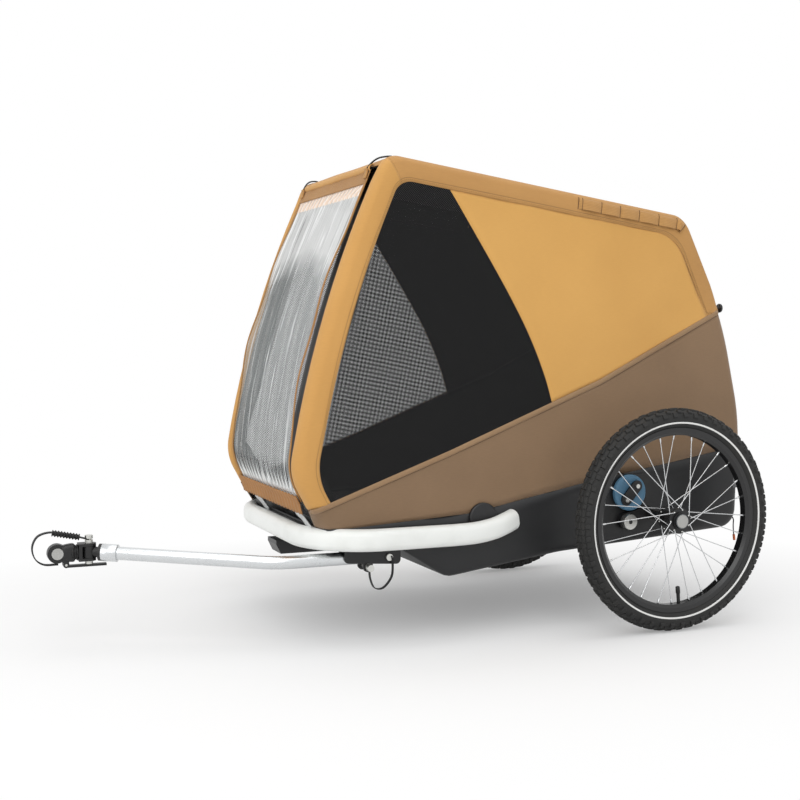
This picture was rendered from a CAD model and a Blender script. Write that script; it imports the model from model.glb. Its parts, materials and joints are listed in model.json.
"""Dog bike trailer: finishes, cloth, tyres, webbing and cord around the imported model.

Sizes are in millimetres.  X and Z are measured from the middle of the wheel axis on the ground, and
Bench.place turns such a point into the frame's metres.
"""
import json
import logging
import math
from dataclasses import dataclass, field
from enum import Enum
from typing import Callable, ClassVar, Sequence

import bmesh
import bpy
import numpy as np
from mathutils import Matrix, Vector

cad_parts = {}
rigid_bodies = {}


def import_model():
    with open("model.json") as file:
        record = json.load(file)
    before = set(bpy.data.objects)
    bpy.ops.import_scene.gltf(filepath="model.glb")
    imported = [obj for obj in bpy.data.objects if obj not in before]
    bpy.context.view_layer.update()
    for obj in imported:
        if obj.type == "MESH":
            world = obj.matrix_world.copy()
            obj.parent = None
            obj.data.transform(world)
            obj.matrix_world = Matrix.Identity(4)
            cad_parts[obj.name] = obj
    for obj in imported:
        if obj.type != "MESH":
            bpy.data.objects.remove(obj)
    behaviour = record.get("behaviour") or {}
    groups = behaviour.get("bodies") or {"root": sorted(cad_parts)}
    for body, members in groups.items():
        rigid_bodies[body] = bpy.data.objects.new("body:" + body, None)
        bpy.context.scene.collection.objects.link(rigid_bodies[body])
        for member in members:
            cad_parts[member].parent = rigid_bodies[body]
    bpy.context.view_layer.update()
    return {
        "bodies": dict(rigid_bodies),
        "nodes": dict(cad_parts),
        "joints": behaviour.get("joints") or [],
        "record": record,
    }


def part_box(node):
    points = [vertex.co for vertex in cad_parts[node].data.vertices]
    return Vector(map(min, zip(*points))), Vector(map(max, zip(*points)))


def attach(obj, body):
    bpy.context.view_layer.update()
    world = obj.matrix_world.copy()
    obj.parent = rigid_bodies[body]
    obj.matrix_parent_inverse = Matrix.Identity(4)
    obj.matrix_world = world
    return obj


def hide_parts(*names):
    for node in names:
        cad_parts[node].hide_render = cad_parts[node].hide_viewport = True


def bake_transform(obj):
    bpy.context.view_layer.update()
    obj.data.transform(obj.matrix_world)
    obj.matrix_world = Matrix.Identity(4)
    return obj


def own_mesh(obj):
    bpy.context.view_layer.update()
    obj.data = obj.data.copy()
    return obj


LOG = logging.getLogger("dog_trailer")
MM = 0.001
TURN = 2 * math.pi
WELD = 2e-6
SLIVER = 1e-6
Point = Sequence[float]
Corner = tuple[float, float, float]
Rise = Callable[[np.ndarray, np.ndarray], np.ndarray]


class Side(Enum):
    """The two sides of the trailer, with their sign along Y."""

    LEFT = 1
    RIGHT = -1

    @property
    def word(self) -> str:
        """Name of the side in piece names."""
        return self.name.lower()


class Fold(Enum):
    """How a soft piece answers when the bows fold down."""

    STAYS = "stays"
    COLLAPSES = "collapses"


def srgb(code: str) -> tuple[float, float, float, float]:
    """Linear colour of a hexadecimal one.

    Args:
        code: Colour such as #DAA85C.

    Returns:
        Red, green, blue and alpha, from 0 to 1.
    """
    parts = [int(code[i : i + 2], 16) / 255 for i in (1, 3, 5)]
    linear = [p / 12.92 if p <= 0.04045 else ((p + 0.055) / 1.055) ** 2.4 for p in parts]
    return (*linear, 1.0)


# Shader maths

class Value:
    """Number socket of a material that takes part in Python expressions."""

    def __init__(self, shader: "Shader", socket: bpy.types.NodeSocket) -> None:
        """Wrap one socket of a shader."""
        self.shader = shader
        self.socket = socket

    def __add__(self, other: "Value | float") -> "Value":
        """Sum."""
        return self.shader.math("ADD", self, other)

    def __sub__(self, other: "Value | float") -> "Value":
        """Difference."""
        return self.shader.math("SUBTRACT", self, other)

    def __rsub__(self, other: float) -> "Value":
        """Difference from a number."""
        return self.shader.math("SUBTRACT", other, self)

    def __mul__(self, other: "Value | float") -> "Value":
        """Product."""
        return self.shader.math("MULTIPLY", self, other)

    def __lt__(self, other: "Value | float") -> "Value":
        """1 where this is smaller."""
        return self.shader.math("LESS_THAN", self, other)

    __radd__ = __add__

    def __abs__(self) -> "Value":
        """Size without its sign."""
        return self.shader.math("ABSOLUTE", self)

    def wave(self, pitch: float) -> "Value":
        """Sine of this length, from -1 to 1, once in each pitch."""
        return self.shader.math("SINE", self * (TURN / pitch))

    def clamped(self) -> "Value":
        """Held between 0 and 1."""
        return self.shader.math("MINIMUM", self.shader.math("MAXIMUM", self, 0.0), 1.0)


class Tree:
    """Node tree under construction."""

    def __init__(self, tree: bpy.types.NodeTree, prefix: str = "ShaderNode") -> None:
        """Empty a tree, and note the prefix that most of its nodes have."""
        self.tree = tree
        self.prefix = prefix
        tree.nodes.clear()

    def feed(self, socket: bpy.types.NodeSocket, value: object) -> None:
        """Link a socket to a value, or set it."""
        if isinstance(value, Value):
            value = value.socket
        if isinstance(value, bpy.types.NodeSocket):
            self.tree.links.new(value, socket)
        else:
            socket.default_value = value

    def node(self, kind: str, settings: dict | None = None, sockets: dict | None = None) -> bpy.types.Node:
        """Add any node.

        Args:
            kind: Type of the node; without a prefix it gets the tree's own.
            settings: Settings of the node, which are set first.
            sockets: Values or links of its inputs, by name or number.

        Returns:
            The new node.
        """
        made = self.tree.nodes.new(kind if "Node" in kind else self.prefix + kind)
        for key, value in (settings or {}).items():
            setattr(made, key, value)
        for key, value in (sockets or {}).items():
            self.feed(made.inputs[key], value)
        return made


class Shader(Tree):
    """Node material with one Principled shader."""

    def __init__(self, name: str) -> None:
        """Start an empty material of that name."""
        self.material = bpy.data.materials.new(name)
        self.material.use_nodes = True
        super().__init__(self.material.node_tree)
        self.surface = self.node("BsdfPrincipled")
        self.output = self.node("OutputMaterial", None, {"Surface": self.surface.outputs[0]})

    def math(self, operation: str, *values: object) -> Value:
        """Math node on one or two values."""
        made = self.node("Math", {"operation": operation}, dict(enumerate(values)))
        return Value(self, made.outputs[0])

    def along(self) -> tuple[Value, Value]:
        """The piece's own UV map, in metres: along it and across it."""
        split = self.node("SeparateXYZ", None, {0: self.node("TexCoord").outputs["UV"]})
        return Value(self, split.outputs[0]), Value(self, split.outputs[1])

    def place(self, stretch: Point = (1, 1, 1)) -> bpy.types.NodeSocket:
        """Object coordinates, stretched."""
        spot = self.node("TexCoord").outputs["Object"]
        return self.node("Mapping", None, {"Vector": spot, "Scale": tuple(stretch)}).outputs[0]

    def noise(self, pitch: float, detail: float = 2.0, stretch: Point = (1, 1, 1)) -> Value:
        """Cloudy value from 0 to 1.

        Args:
            pitch: Size of a cloud in millimetres.
            detail: Finer clouds within it.
            stretch: Closer pattern along each axis.

        Returns:
            The value.
        """
        sockets = {"Vector": self.place(stretch), "Scale": 1 / (pitch * MM), "Detail": detail}
        return Value(self, self.node("TexNoise", None, sockets).outputs[0])

    def mix(self, share: Value, first: object, second: object) -> bpy.types.NodeSocket:
        """Colour between two colours."""
        sockets = {0: share, 6: first, 7: second}
        return self.node("Mix", {"data_type": "RGBA"}, sockets).outputs[2]

    def bump(self, height: Value, depth: float) -> None:
        """Raise the surface by a height from 0 to 1, of a depth in millimetres."""
        sockets = {"Height": height, "Distance": depth * MM, "Strength": 1.0}
        self.feed(self.surface.inputs["Normal"], self.node("Bump", None, sockets).outputs[0])

    def done(self, **sockets: object) -> bpy.types.Material:
        """Set the Principled shader's sockets, with _ for a blank, and give the material."""
        for key, value in sockets.items():
            self.feed(self.surface.inputs[key.replace("_", " ")], value)
        return self.material


# Finishes

@dataclass(frozen=True)
class Cloth:
    """Woven polyester: thread, slubs, a little fading, and folded seams at set distances across."""

    name: str
    colour: str
    shade: str
    thread: float = 1.3
    rough: float = 0.82
    seams: tuple[float, ...] = ()
    seam_width: float = 1.8
    fade_pitch: float = 170.0
    slub_pitch: float = 14.0
    relief: float = 0.35
    seam_dark: float = 0.42
    seam_depth: float = 1.2
    sheen: float = 0.12

    def build(self) -> bpy.types.Material:
        """Make the material."""
        shader = Shader(self.name)
        along, across = shader.along()
        weave = along.wave(self.thread * MM) * across.wave(self.thread * MM)
        fading = shader.noise(self.fade_pitch, 3.0)
        slubs = shader.noise(self.slub_pitch, 2.0, (1, 1, 7))
        tone = (fading * 0.75 + slubs * 0.4 + weave * 0.05 + 0.02).clamped()
        colour = shader.mix(tone, srgb(self.shade), srgb(self.colour))
        height = weave * 0.2 + slubs * 0.3
        for seam in self.seams:
            line = abs(across - seam * MM) < self.seam_width * MM / 2
            dark = tuple(c * self.seam_dark for c in srgb(self.shade)[:3])
            colour = shader.mix(line * 0.5, colour, (*dark, 1.0))
            height = height - line * self.seam_depth
        shader.bump(height, self.relief)
        rough = self.rough + (slubs - 0.5) * 0.12
        return shader.done(Base_Color=colour, Roughness=rough, Sheen_Weight=self.sheen, Sheen_Roughness=0.5)


@dataclass(frozen=True)
class Coated:
    """Black coated cloth of the tub: soft grain, scuffs and a low sheen."""

    name: str
    colour: str
    scuff: str
    rough: float = 0.46
    grain_pitch: float = 1.6
    cloud_pitch: float = 120.0
    scuff_pitch: float = 34.0
    relief: float = 0.6
    scuff_from: float = 0.6
    scuff_rate: float = 1.6

    def build(self) -> bpy.types.Material:
        """Make the material."""
        shader = Shader(self.name)
        grain = shader.noise(self.grain_pitch, 3.0)
        cloud = shader.noise(self.cloud_pitch, 4.0)
        patches = shader.noise(self.scuff_pitch, 5.0, (1, 1, 4))
        scuffs = (patches - self.scuff_from).clamped() * self.scuff_rate
        colour = shader.mix((scuffs + (cloud - 0.4) * 0.5).clamped(), srgb(self.colour), srgb(self.scuff))
        shader.bump(grain * 0.3 + cloud, self.relief)
        rough = self.rough + (cloud - 0.5) * 0.25 + scuffs * 0.15
        return shader.done(Base_Color=colour, Roughness=rough)


@dataclass(frozen=True)
class Netting:
    """Black window net with square holes."""

    name: str
    colour: str
    worn: str
    pitch: float = 3.6
    hole: float = 0.2
    clear: float = 0.97
    thread_pitch: float = 5.0
    hole_edge: float = 5.0

    def build(self) -> bpy.types.Material:
        """Make the material."""
        shader = Shader(self.name)
        along, across = shader.along()
        pitch = self.pitch * MM
        gaps = (along.wave(pitch) * 0.5 + 0.5) * (across.wave(pitch) * 0.5 + 0.5)
        opened = ((gaps - self.hole) * self.hole_edge).clamped()
        thread = shader.noise(self.thread_pitch, 2.0)
        colour = shader.mix(thread, srgb(self.colour), srgb(self.worn))
        alpha = 1.0 - opened * self.clear
        return shader.done(Base_Color=colour, Roughness=0.8 + thread * 0.1, Alpha=alpha)


@dataclass(frozen=True)
class Vinyl:
    """Clear flexible pane: milky, with long creases, a doubled strip at the top and gathers at the foot."""

    name: str
    colour: str
    crease: str
    doubled: str
    shadow: str
    glare: str
    milk: float = 0.5
    length: float = 727.0
    strip: float = 44.0
    gathers: float = 56.0
    gather_pitch: float = 12.5
    pit_run: Point = (25.2, 95.2)
    glare_from: float = 0.5
    cloud_pitch: float = 260.0
    relief: float = 1.4
    bend: float = 1.3
    strip_edge: float = 400.0
    gather_edge: float = 30.0
    pit_edges: Point = (40.0, 60.0)
    glare_rate: float = 16.0
    sway: tuple[float, float] = (60, 0.012)
    # Pitch, detail, stretch along and across, threshold and sharpness of wide, fine and dark streaks
    STREAKS: ClassVar[tuple[Point, ...]] = (
        (46, 3.0, 0.16, 2.2, 0.58, 9.0), (20, 2.0, 0.12, 2.0, 0.62, 10.0), (30, 2.0, 0.14, 2.0, 0.6, 8.0),
    )

    def build(self) -> bpy.types.Material:
        """Make the material."""
        shader = Shader(self.name)
        along, across = shader.along()
        cloud = shader.noise(self.cloud_pitch, 3.0)
        streaks, fine, dark = (
            ((shader.noise(pitch, detail, (run, wide, run)) - limit) * rate).clamped()
            for pitch, detail, run, wide, limit, rate in self.STREAKS
        )
        lines = (streaks * 0.55 + fine * 0.6).clamped()
        pitch, reach = self.sway
        uneven = across + (shader.noise(pitch, 2.0) - 0.5) * reach
        folds = uneven.wave(self.gather_pitch * MM) * 0.5 + 0.5
        top = ((along - (self.length - self.strip) * MM) * self.strip_edge).clamped()
        foot = ((self.gathers * MM - along) * self.gather_edge + (folds - 0.5) * 0.9).clamped()
        low, high = self.pit_run
        above, below = self.pit_edges
        near_foot = ((high * MM - along) * above).clamped() * ((along - low * MM) * below).clamped()
        pits = near_foot * ((0.45 - folds) * 6.0).clamped()
        bright = ((along - self.glare_from) * self.glare_rate + (cloud - 0.5) * 3.0 + fine * 0.8).clamped()
        colour = srgb(self.colour)
        for share, tint in (
            (bright, self.glare), (dark * 0.55, self.shadow), (lines, self.crease), (top * 0.8, self.doubled),
            (top * ((folds - 0.72) * 4.0).clamped() * 0.6, self.crease), (foot * 0.85, self.crease),
            (pits, self.shadow),
        ):
            colour = shader.mix(share, colour, srgb(tint))
        milky = self.milk + (cloud - 0.5) * 0.5
        alpha = milky + lines * 0.5 + top * 0.42 + foot * 0.6 + bright * 0.3 + pits * 0.6
        shader.bump(streaks * 0.6 + cloud + (foot + top) * folds, self.relief)
        rough = 0.1 + cloud * 0.14
        return shader.done(Base_Color=colour, Roughness=rough, Alpha=alpha.clamped(), IOR=self.bend)


@dataclass(frozen=True)
class Metal:
    """Bare or anodised metal with drawing lines along one axis."""

    name: str
    colour: str
    worn: str
    rough: float
    grain: Point = (1, 1, 1)
    line_pitch: float = 3.0
    cloud_pitch: float = 60.0
    relief: float = 0.03

    def build(self) -> bpy.types.Material:
        """Make the material."""
        shader = Shader(self.name)
        lines = shader.noise(self.line_pitch, 3.0, self.grain)
        cloud = shader.noise(self.cloud_pitch, 3.0)
        colour = shader.mix((lines * 0.5 + cloud * 0.5).clamped(), srgb(self.worn), srgb(self.colour))
        shader.bump(lines, self.relief)
        rough = self.rough + (lines - 0.5) * 0.1 + (cloud - 0.5) * 0.12
        return shader.done(Base_Color=colour, Roughness=rough, Metallic=1.0)


@dataclass(frozen=True)
class Moulded:
    """Moulded plastic, lacquer or rubber: fine grain, and dust or scuffs in clouds."""

    name: str
    colour: str
    worn: str
    rough: float
    grain: float = 0.8
    depth: float = 0.05
    coat: float = 0.0
    cloud_pitch: float = 45.0
    wear_from: float = 0.45
    wear_rate: float = 2.2

    def build(self) -> bpy.types.Material:
        """Make the material."""
        shader = Shader(self.name)
        grain = shader.noise(self.grain, 2.0)
        cloud = shader.noise(self.cloud_pitch, 4.0)
        wear = ((cloud - self.wear_from) * self.wear_rate).clamped()
        colour = shader.mix(wear, srgb(self.colour), srgb(self.worn))
        shader.bump(grain, self.depth)
        rough = self.rough + (grain - 0.5) * 0.08 + wear * 0.1
        return shader.done(Base_Color=colour, Roughness=rough, Coat_Weight=self.coat, Coat_Roughness=0.2)


@dataclass(frozen=True)
class Webbing:
    """Woven strap: ribs across, a rolled edge and a little fluff."""

    name: str
    colour: str
    shade: str
    rib: float = 1.8
    cloud_pitch: float = 20.0
    relief: float = 0.4

    def build(self) -> bpy.types.Material:
        """Make the material."""
        shader = Shader(self.name)
        along, across = shader.along()
        ribs = along.wave(self.rib * MM) * 0.5 + across.wave(self.rib * 2 * MM) * 0.3 + 0.5
        cloud = shader.noise(self.cloud_pitch, 3.0)
        tone = (ribs * 0.6 + cloud * 0.5).clamped()
        colour = shader.mix(tone, srgb(self.shade), srgb(self.colour))
        shader.bump(ribs, self.relief)
        return shader.done(Base_Color=colour, Roughness=0.7 + cloud * 0.2, Sheen_Weight=0.1)


FINISHES = {finish.name: finish for finish in (
    Moulded("tyre_rubber", "#161615", "#242321", 0.66, 1.5, 0.12),
    Moulded("tube_rubber", "#141414", "#1E1E1E", 0.7),
    Moulded("rim_black", "#0A0A0B", "#131315", 0.34, 0.6, 0.02, 0.2),
    Metal("spoke_steel", "#E4E5E6", "#C4C6C8", 0.2),
    Moulded("hub_grey", "#101011", "#1A1A1C", 0.42),
    Metal("bearing_steel", "#C9CBCD", "#A9ACAF", 0.25),
    Metal("axle_steel", "#8F9294", "#6C6F72", 0.35),
    Moulded("button_grey", "#A8A8A5", "#9A9A97", 0.45),
    Moulded("arm_black", "#0D0D0E", "#171718", 0.42),
    Moulded("elastomer_blue", "#4F7894", "#456A84", 0.55, 1.0, 0.06),
    Metal("bolt_zinc", "#DADAD6", "#C2C2BD", 0.34),
    Coated("tub_black", "#0D0E10", "#1A1B1E"),
    Cloth("skirt_brown", "#8C7053", "#70573D", rough=0.62),
    Cloth("panel_tan", "#DBA85C", "#C9964E"),
    Cloth("band_tan", "#C69556", "#AC7E47", seams=(9.5,)),
    Cloth("sleeve_tan", "#D09D57", "#BA8947", seams=(8.5,)),
    Netting("window_mesh", "#060607", "#101011"),
    Vinyl("cover_pane", "#989D9C", "#F6F7F7", "#EBCDB3", "#121314", "#D2D3D2"),
    Metal("frame_alloy", "#BFC2C4", "#999C9F", 0.32, (0.2, 1, 1)),
    Moulded("floor_board", "#202021", "#2C2C2E", 0.6, 2.0, 0.1),
    Moulded("hinge_black", "#0E0E0F", "#19191A", 0.4),
    Moulded("bumper_white", "#E9EBE8", "#DEE0DC", 0.38, 0.7, 0.02, 0.15),
    Moulded("cap_black", "#121214", "#1C1C1F", 0.36),
    Metal("drawbar_silver", "#E2E4E5", "#C7CACC", 0.28, (0.15, 1, 1)),
    Moulded("receiver_black", "#0E0E0F", "#1A1A1B", 0.42),
    Webbing("webbing_black", "#18181A", "#0C0C0D"),
    Moulded("boot_rubber", "#0F0F0F", "#191919", 0.5),
    Webbing("cord_black", "#1E1E20", "#0F0F11", 0.9),
    Moulded("tip_orange", "#C9632C", "#B05223", 0.45),
    Cloth("lining_black", "#0F0D0B", "#080706", 1.6, 0.9),
    Cloth("binding_brown", "#A08260", "#866646", 0.9, 0.7),
    Cloth("rear_tan", "#C3935A", "#AC7E47"),
    Cloth("hem_tan", "#B08146", "#8F6433"),
    Cloth("pleat_tan", "#B07C43", "#8B5E30"),
    Webbing("webbing_grey", "#DADBDA", "#B4B6B6"),
    Moulded("tape_grey", "#6E6F70", "#5E5F60", 0.4),
    Webbing("webbing_tan", "#CB9A5C", "#A6783F"),
    Moulded("reflective", "#E6E6E4", "#D6D6D3", 0.3),
    Moulded("thread_tan", "#8E6A38", "#7A592C", 0.8),
    Moulded("thread_brown", "#5D4630", "#4C3824", 0.8),
    Moulded("wire_black", "#101113", "#1B1C1E", 0.35),
    Cloth("roll_tan", "#D3A058", "#B9884A"),
)}


# Geometry Nodes

class NodeMaker(Tree):
    """Geometry Nodes tree with named inputs, and the modifier that runs it once."""

    def __init__(self, name: str, inputs: dict[str, str]) -> None:
        """Start a tree.

        Args:
            name: Name of the tree.
            inputs: Socket type of each named input after the geometry.
        """
        super().__init__(bpy.data.node_groups.new(name, "GeometryNodeTree"), "GeometryNode")
        face = self.tree.interface
        self.keys = {}
        for word, kind in {"Geometry": "Geometry", **inputs}.items():
            socket = face.new_socket(word, in_out="INPUT", socket_type="NodeSocket" + kind)
            self.keys[word] = socket.identifier
        face.new_socket("Geometry", in_out="OUTPUT", socket_type="NodeSocketGeometry")
        self.start = self.node("NodeGroupInput").outputs
        self.end = self.node("NodeGroupOutput")

    def close(self, **sockets: bpy.types.NodeSocket) -> None:
        """Set copies on points, make them real, paint them and end the tree."""
        copies = self.node("InstanceOnPoints", None, sockets)
        real = self.node("RealizeInstances", None, {"Geometry": copies.outputs[0]})
        paint = {"Geometry": real.outputs[0], "Material": self.start["Finish"]}
        self.feed(self.end.inputs[0], self.node("SetMaterial", None, paint).outputs[0])

    def run(self, marks: bpy.types.Mesh, name: str, **inputs: object) -> bpy.types.Mesh:
        """Run the tree on a mesh and give the plain result.

        Args:
            marks: Points or lines that the tree works on.
            name: Name of the new mesh.
            inputs: Value of each named input.

        Returns:
            The finished mesh.
        """
        carrier = bpy.data.objects.new(name + "_marks", marks)
        bpy.context.collection.objects.link(carrier)
        modifier = carrier.modifiers.new("copies", "NODES")
        modifier.node_group = self.tree
        for word, value in inputs.items():
            modifier[self.keys[word]] = value
        seen = bpy.context.evaluated_depsgraph_get()
        mesh = bpy.data.meshes.new_from_object(carrier.evaluated_get(seen), depsgraph=seen)
        mesh.name = name
        bpy.data.objects.remove(carrier)
        return mesh


def copies_tree() -> NodeMaker:
    """Tree that sets a shape on marked points, turned as their attribute says."""
    maker = NodeMaker("copies_on_marks", {"Shape": "Object", "Finish": "Material"})
    shape = maker.node("ObjectInfo", None, {"Object": maker.start["Shape"]})
    turn = maker.node("InputNamedAttribute", {"data_type": "FLOAT_VECTOR"}, {"Name": "turn"})
    maker.close(Points=maker.start["Geometry"], Instance=shape.outputs["Geometry"], Rotation=turn.outputs[0])
    return maker


def stitch_tree() -> NodeMaker:
    """Tree that sews a row of stitches along lines."""
    words = {"Pitch": "Float", "Thickness": "Float", "Stretch": "Float", "Finish": "Material"}
    maker = NodeMaker("stitch_row", words)
    start = maker.start
    curve = maker.node("MeshToCurve", None, {0: start["Geometry"]})
    sockets = {"Curve": curve.outputs[0], "Length": start["Pitch"]}
    points = maker.node("CurveToPoints", {"mode": "LENGTH"}, sockets).outputs
    bead = maker.node("MeshUVSphere", None, {"Segments": 6, "Rings": 4, "Radius": start["Thickness"]})
    size = maker.node("ShaderNodeCombineXYZ", None, {0: 1.0, 1: 1.0, 2: start["Stretch"]})
    maker.close(Points=points["Points"], Instance=bead.outputs[0], Rotation=points["Rotation"],
                Scale=size.outputs[0])
    return maker


# Lines of the side view

def steps(start: float, end: float, count: int) -> list[float]:
    """Evenly spaced values from start to end, both included."""
    return [start + (end - start) * i / count for i in range(count + 1)]


def rounded(corners: Sequence[Corner], runs: Sequence[int], turn: int = 8) -> np.ndarray:
    """Points of an open line with rounded corners.

    Args:
        corners: X, Z and rounding of each corner; the two ends have none.
        runs: Spans on each straight run.
        turn: Spans on each rounding.

    Returns:
        The points, as rows of X and Z.
    """
    spots = [np.array(c[:2], float) for c in corners]
    arcs = [(spots[0], spots[0], [])]
    for before, spot, after, corner in zip(spots, spots[1:], spots[2:], corners[1:]):
        back = (before - spot) / np.linalg.norm(before - spot)
        ahead = (after - spot) / np.linalg.norm(after - spot)
        half = math.acos(float(np.clip(back @ ahead, -1, 1))) / 2
        start = spot + back * corner[2] / math.tan(half)
        inward = (back + ahead) / np.linalg.norm(back + ahead)
        centre = spot + inward * corner[2] / math.sin(half)
        first = math.atan2(*(start - centre)[::-1])
        bend = math.pi - 2 * half
        if back[0] * ahead[1] - back[1] * ahead[0] > 0:
            bend = -bend
        angles = [first + bend * i / turn for i in range(turn + 1)]
        arc = [centre + corner[2] * np.array((math.cos(a), math.sin(a))) for a in angles]
        arcs.append((arc[0], arc[-1], arc))
    arcs.append((spots[-1], spots[-1], []))
    line = [spots[0]]
    for (_, leave, _), (arrive, _, arc), count in zip(arcs, arcs[1:], runs):
        line += [leave + (arrive - leave) * i / count for i in range(1, count)]
        line += arc or [arrive]
    return np.array(line)


def level(line: Sequence[Point], x: object) -> object:
    """Height of a side-view line at a place along X."""
    rows = np.array([p[:2] for p in line], float)
    rows = rows[np.argsort(rows[:, 0])]
    return np.interp(x, rows[:, 0], rows[:, 1])


def inset(before: Point, spot: Point, after: Point, first: float, second: float) -> tuple[float, float]:
    """Corner of the outline after its two sides are drawn in by their own widths.

    Args:
        before: Corner before it.
        spot: The corner.
        after: Corner after it.
        first: Width taken off the side that comes in.
        second: Width taken off the side that goes out.

    Returns:
        X and Z of the new corner.
    """
    come = Vector((spot[0] - before[0], spot[1] - before[1])).normalized()
    leave = Vector((after[0] - spot[0], after[1] - spot[1])).normalized()
    come_in, leave_in = Vector((-come.y, come.x)), Vector((-leave.y, leave.x))
    slide = (second - first * come_in.dot(leave_in)) / come.dot(leave_in)
    place = Vector(spot[:2]) + come_in * first + come * slide
    return place.x, place.y


def ripple(x: object, z: object, pitch: float) -> object:
    """Soft uneven waves from about -1 to 1, the same at each run."""
    total = np.sin(x * TURN / pitch + z * 2.1 / pitch)
    total = total + np.sin(z * TURN / (pitch * 1.37) - x * 3.3 / pitch + 1.3)
    return (total + np.sin((x + z) * TURN / (pitch * 2.3) + 0.7)) / 3


@dataclass(frozen=True)
class Shell:
    """Outer form of the cabin: its side view, width and rounded edges."""

    half: float = 280.0
    edge: float = 20.0
    fold: float = 255.0
    front_top: Corner = (652.0, 1053.0, 45.0)
    rear_top: Corner = (-110.0, 949.0, 55.0)
    rear_back: Corner = (-224.0, 712.0, 900.0)
    rear_low: Corner = (-281.0, 470.0, 500.0)
    rear_foot: Corner = (-272.0, 205.0, 45.0)
    belly: tuple[Corner, ...] = ((220.0, 172.0, 300.0), (503.0, 134.0, 40.0), (618.0, 207.0, 24.0))
    front_foot: Corner = (772.0, 207.0, 30.0)
    front_bulge: Corner = (862.0, 374.0, 110.0)
    front_mid: Corner = (797.0, 726.0, 2400.0)
    seam: tuple[Point, ...] = ((-400, 824), (-213, 732), (123, 563), (503, 412), (930, 256))
    tub_top: tuple[Point, ...] = ((-400, 422), (173, 328), (453, 275), (731, 258), (930, 258))
    middle: Point = (300.0, 0.0, 560.0)
    nose: float = 26.0
    nose_from: float = 772.0
    nose_run: float = 26.0
    nose_top: float = 300.0
    nose_fade: float = 50.0
    span: float = 6.0
    turn: int = 14
    rear_ahead: float = -60.0
    rear_above: float = 40.0

    @property
    def roof_slope(self) -> float:
        """Rise of the roof towards the front."""
        return (self.front_top[1] - self.rear_top[1]) / (self.front_top[0] - self.rear_top[0])

    @property
    def tub_rear(self) -> float:
        """Height of the tub's rim at the rear."""
        return float(level(self.tub_top, self.rear_low[0]))

    def outline(self) -> np.ndarray:
        """Closed side view, from the middle of the roof rearwards, as rows of X and Z."""
        start = ((self.front_top[0] + self.rear_top[0]) / 2, (self.front_top[1] + self.rear_top[1]) / 2, 0)
        ring = [start, self.rear_top, self.rear_back, self.rear_low, self.rear_foot, *self.belly,
                self.front_foot, self.front_bulge, self.front_mid, self.front_top, start]
        spans = [max(6, round(math.dist(a[:2], b[:2]) / self.span)) for a, b in zip(ring, ring[1:])]
        return rounded(ring, spans, self.turn)

    def depth(self, spots: np.ndarray) -> np.ndarray:
        """Distance of side-view points from the outline."""
        ring = self.outline()
        starts, spans = ring[:-1], np.diff(ring, axis=0)
        keep = np.linalg.norm(spans, axis=1) > SLIVER
        starts, spans = starts[keep], spans[keep]
        away = spots[:, None, :] - starts[None]
        share = np.clip((away * spans).sum(2) / (spans * spans).sum(1), 0, 1)
        return np.linalg.norm(away - share[..., None] * spans, axis=2).min(1)

    def side_y(self, spots: np.ndarray) -> np.ndarray:
        """Y of the left side at side-view points, with the rounded edge."""
        short = self.edge - np.minimum(self.depth(spots), self.edge)
        return self.half - self.edge + np.sqrt(np.maximum(self.edge**2 - short**2, 0)) - self.narrow(spots)

    def narrow(self, spots: np.ndarray) -> np.ndarray:
        """How much narrower the cabin is at side-view points of its front foot."""
        ahead = np.clip((spots[:, 0] - self.nose_from) / self.nose_run, 0, 1) ** 2
        return self.nose * ahead * np.clip((self.nose_top - spots[:, 1]) / self.nose_fade, 0, 1)

    def between(self, start: Point, end: Point, step: float) -> np.ndarray:
        """Evenly spaced points on the outline from one spot of it to another, rearwards over the roof."""
        ring = self.outline()
        run = lengths(ring)
        first, last = (run[np.argmin(np.linalg.norm(ring - np.array(p), axis=1))] for p in (start, end))
        if last <= first:
            last += run[-1]
        count = max(2, round((last - first) / step))
        where = np.linspace(first, last, count + 1) % run[-1]
        return np.stack([np.interp(where, run, ring[:, 0]), np.interp(where, run, ring[:, 1])], 1)

    def edge_at(self, rows: np.ndarray, z: float) -> tuple[float, float]:
        """Spot at a height, on the outline's points along one edge."""
        rows = rows[np.argsort(rows[:, 1])]
        return float(np.interp(z, rows[:, 1], rows[:, 0])), z

    def front_at(self, z: float) -> tuple[float, float]:
        """Spot of the front slope at a height above the bulge."""
        ring = self.outline()
        return self.edge_at(ring[(ring[:, 0] > self.belly[-1][0]) & (ring[:, 1] > self.front_bulge[1])], z)

    def rear_at(self, z: float) -> tuple[float, float]:
        """Spot of the rear edge at a height."""
        ring = self.outline()
        low = self.rear_foot[1] + self.rear_above
        return self.edge_at(ring[(ring[:, 0] < self.rear_ahead) & (ring[:, 1] > low)], z)

    def foot_at(self, z: float) -> tuple[float, float]:
        """Spot of the front edge at a height under the bulge."""
        share = (z - self.front_foot[1]) / (self.front_bulge[1] - self.front_foot[1])
        return self.front_foot[0] + share * (self.front_bulge[0] - self.front_foot[0]), z


# The bench: what every sub-assembly uses to set its pieces down

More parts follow.
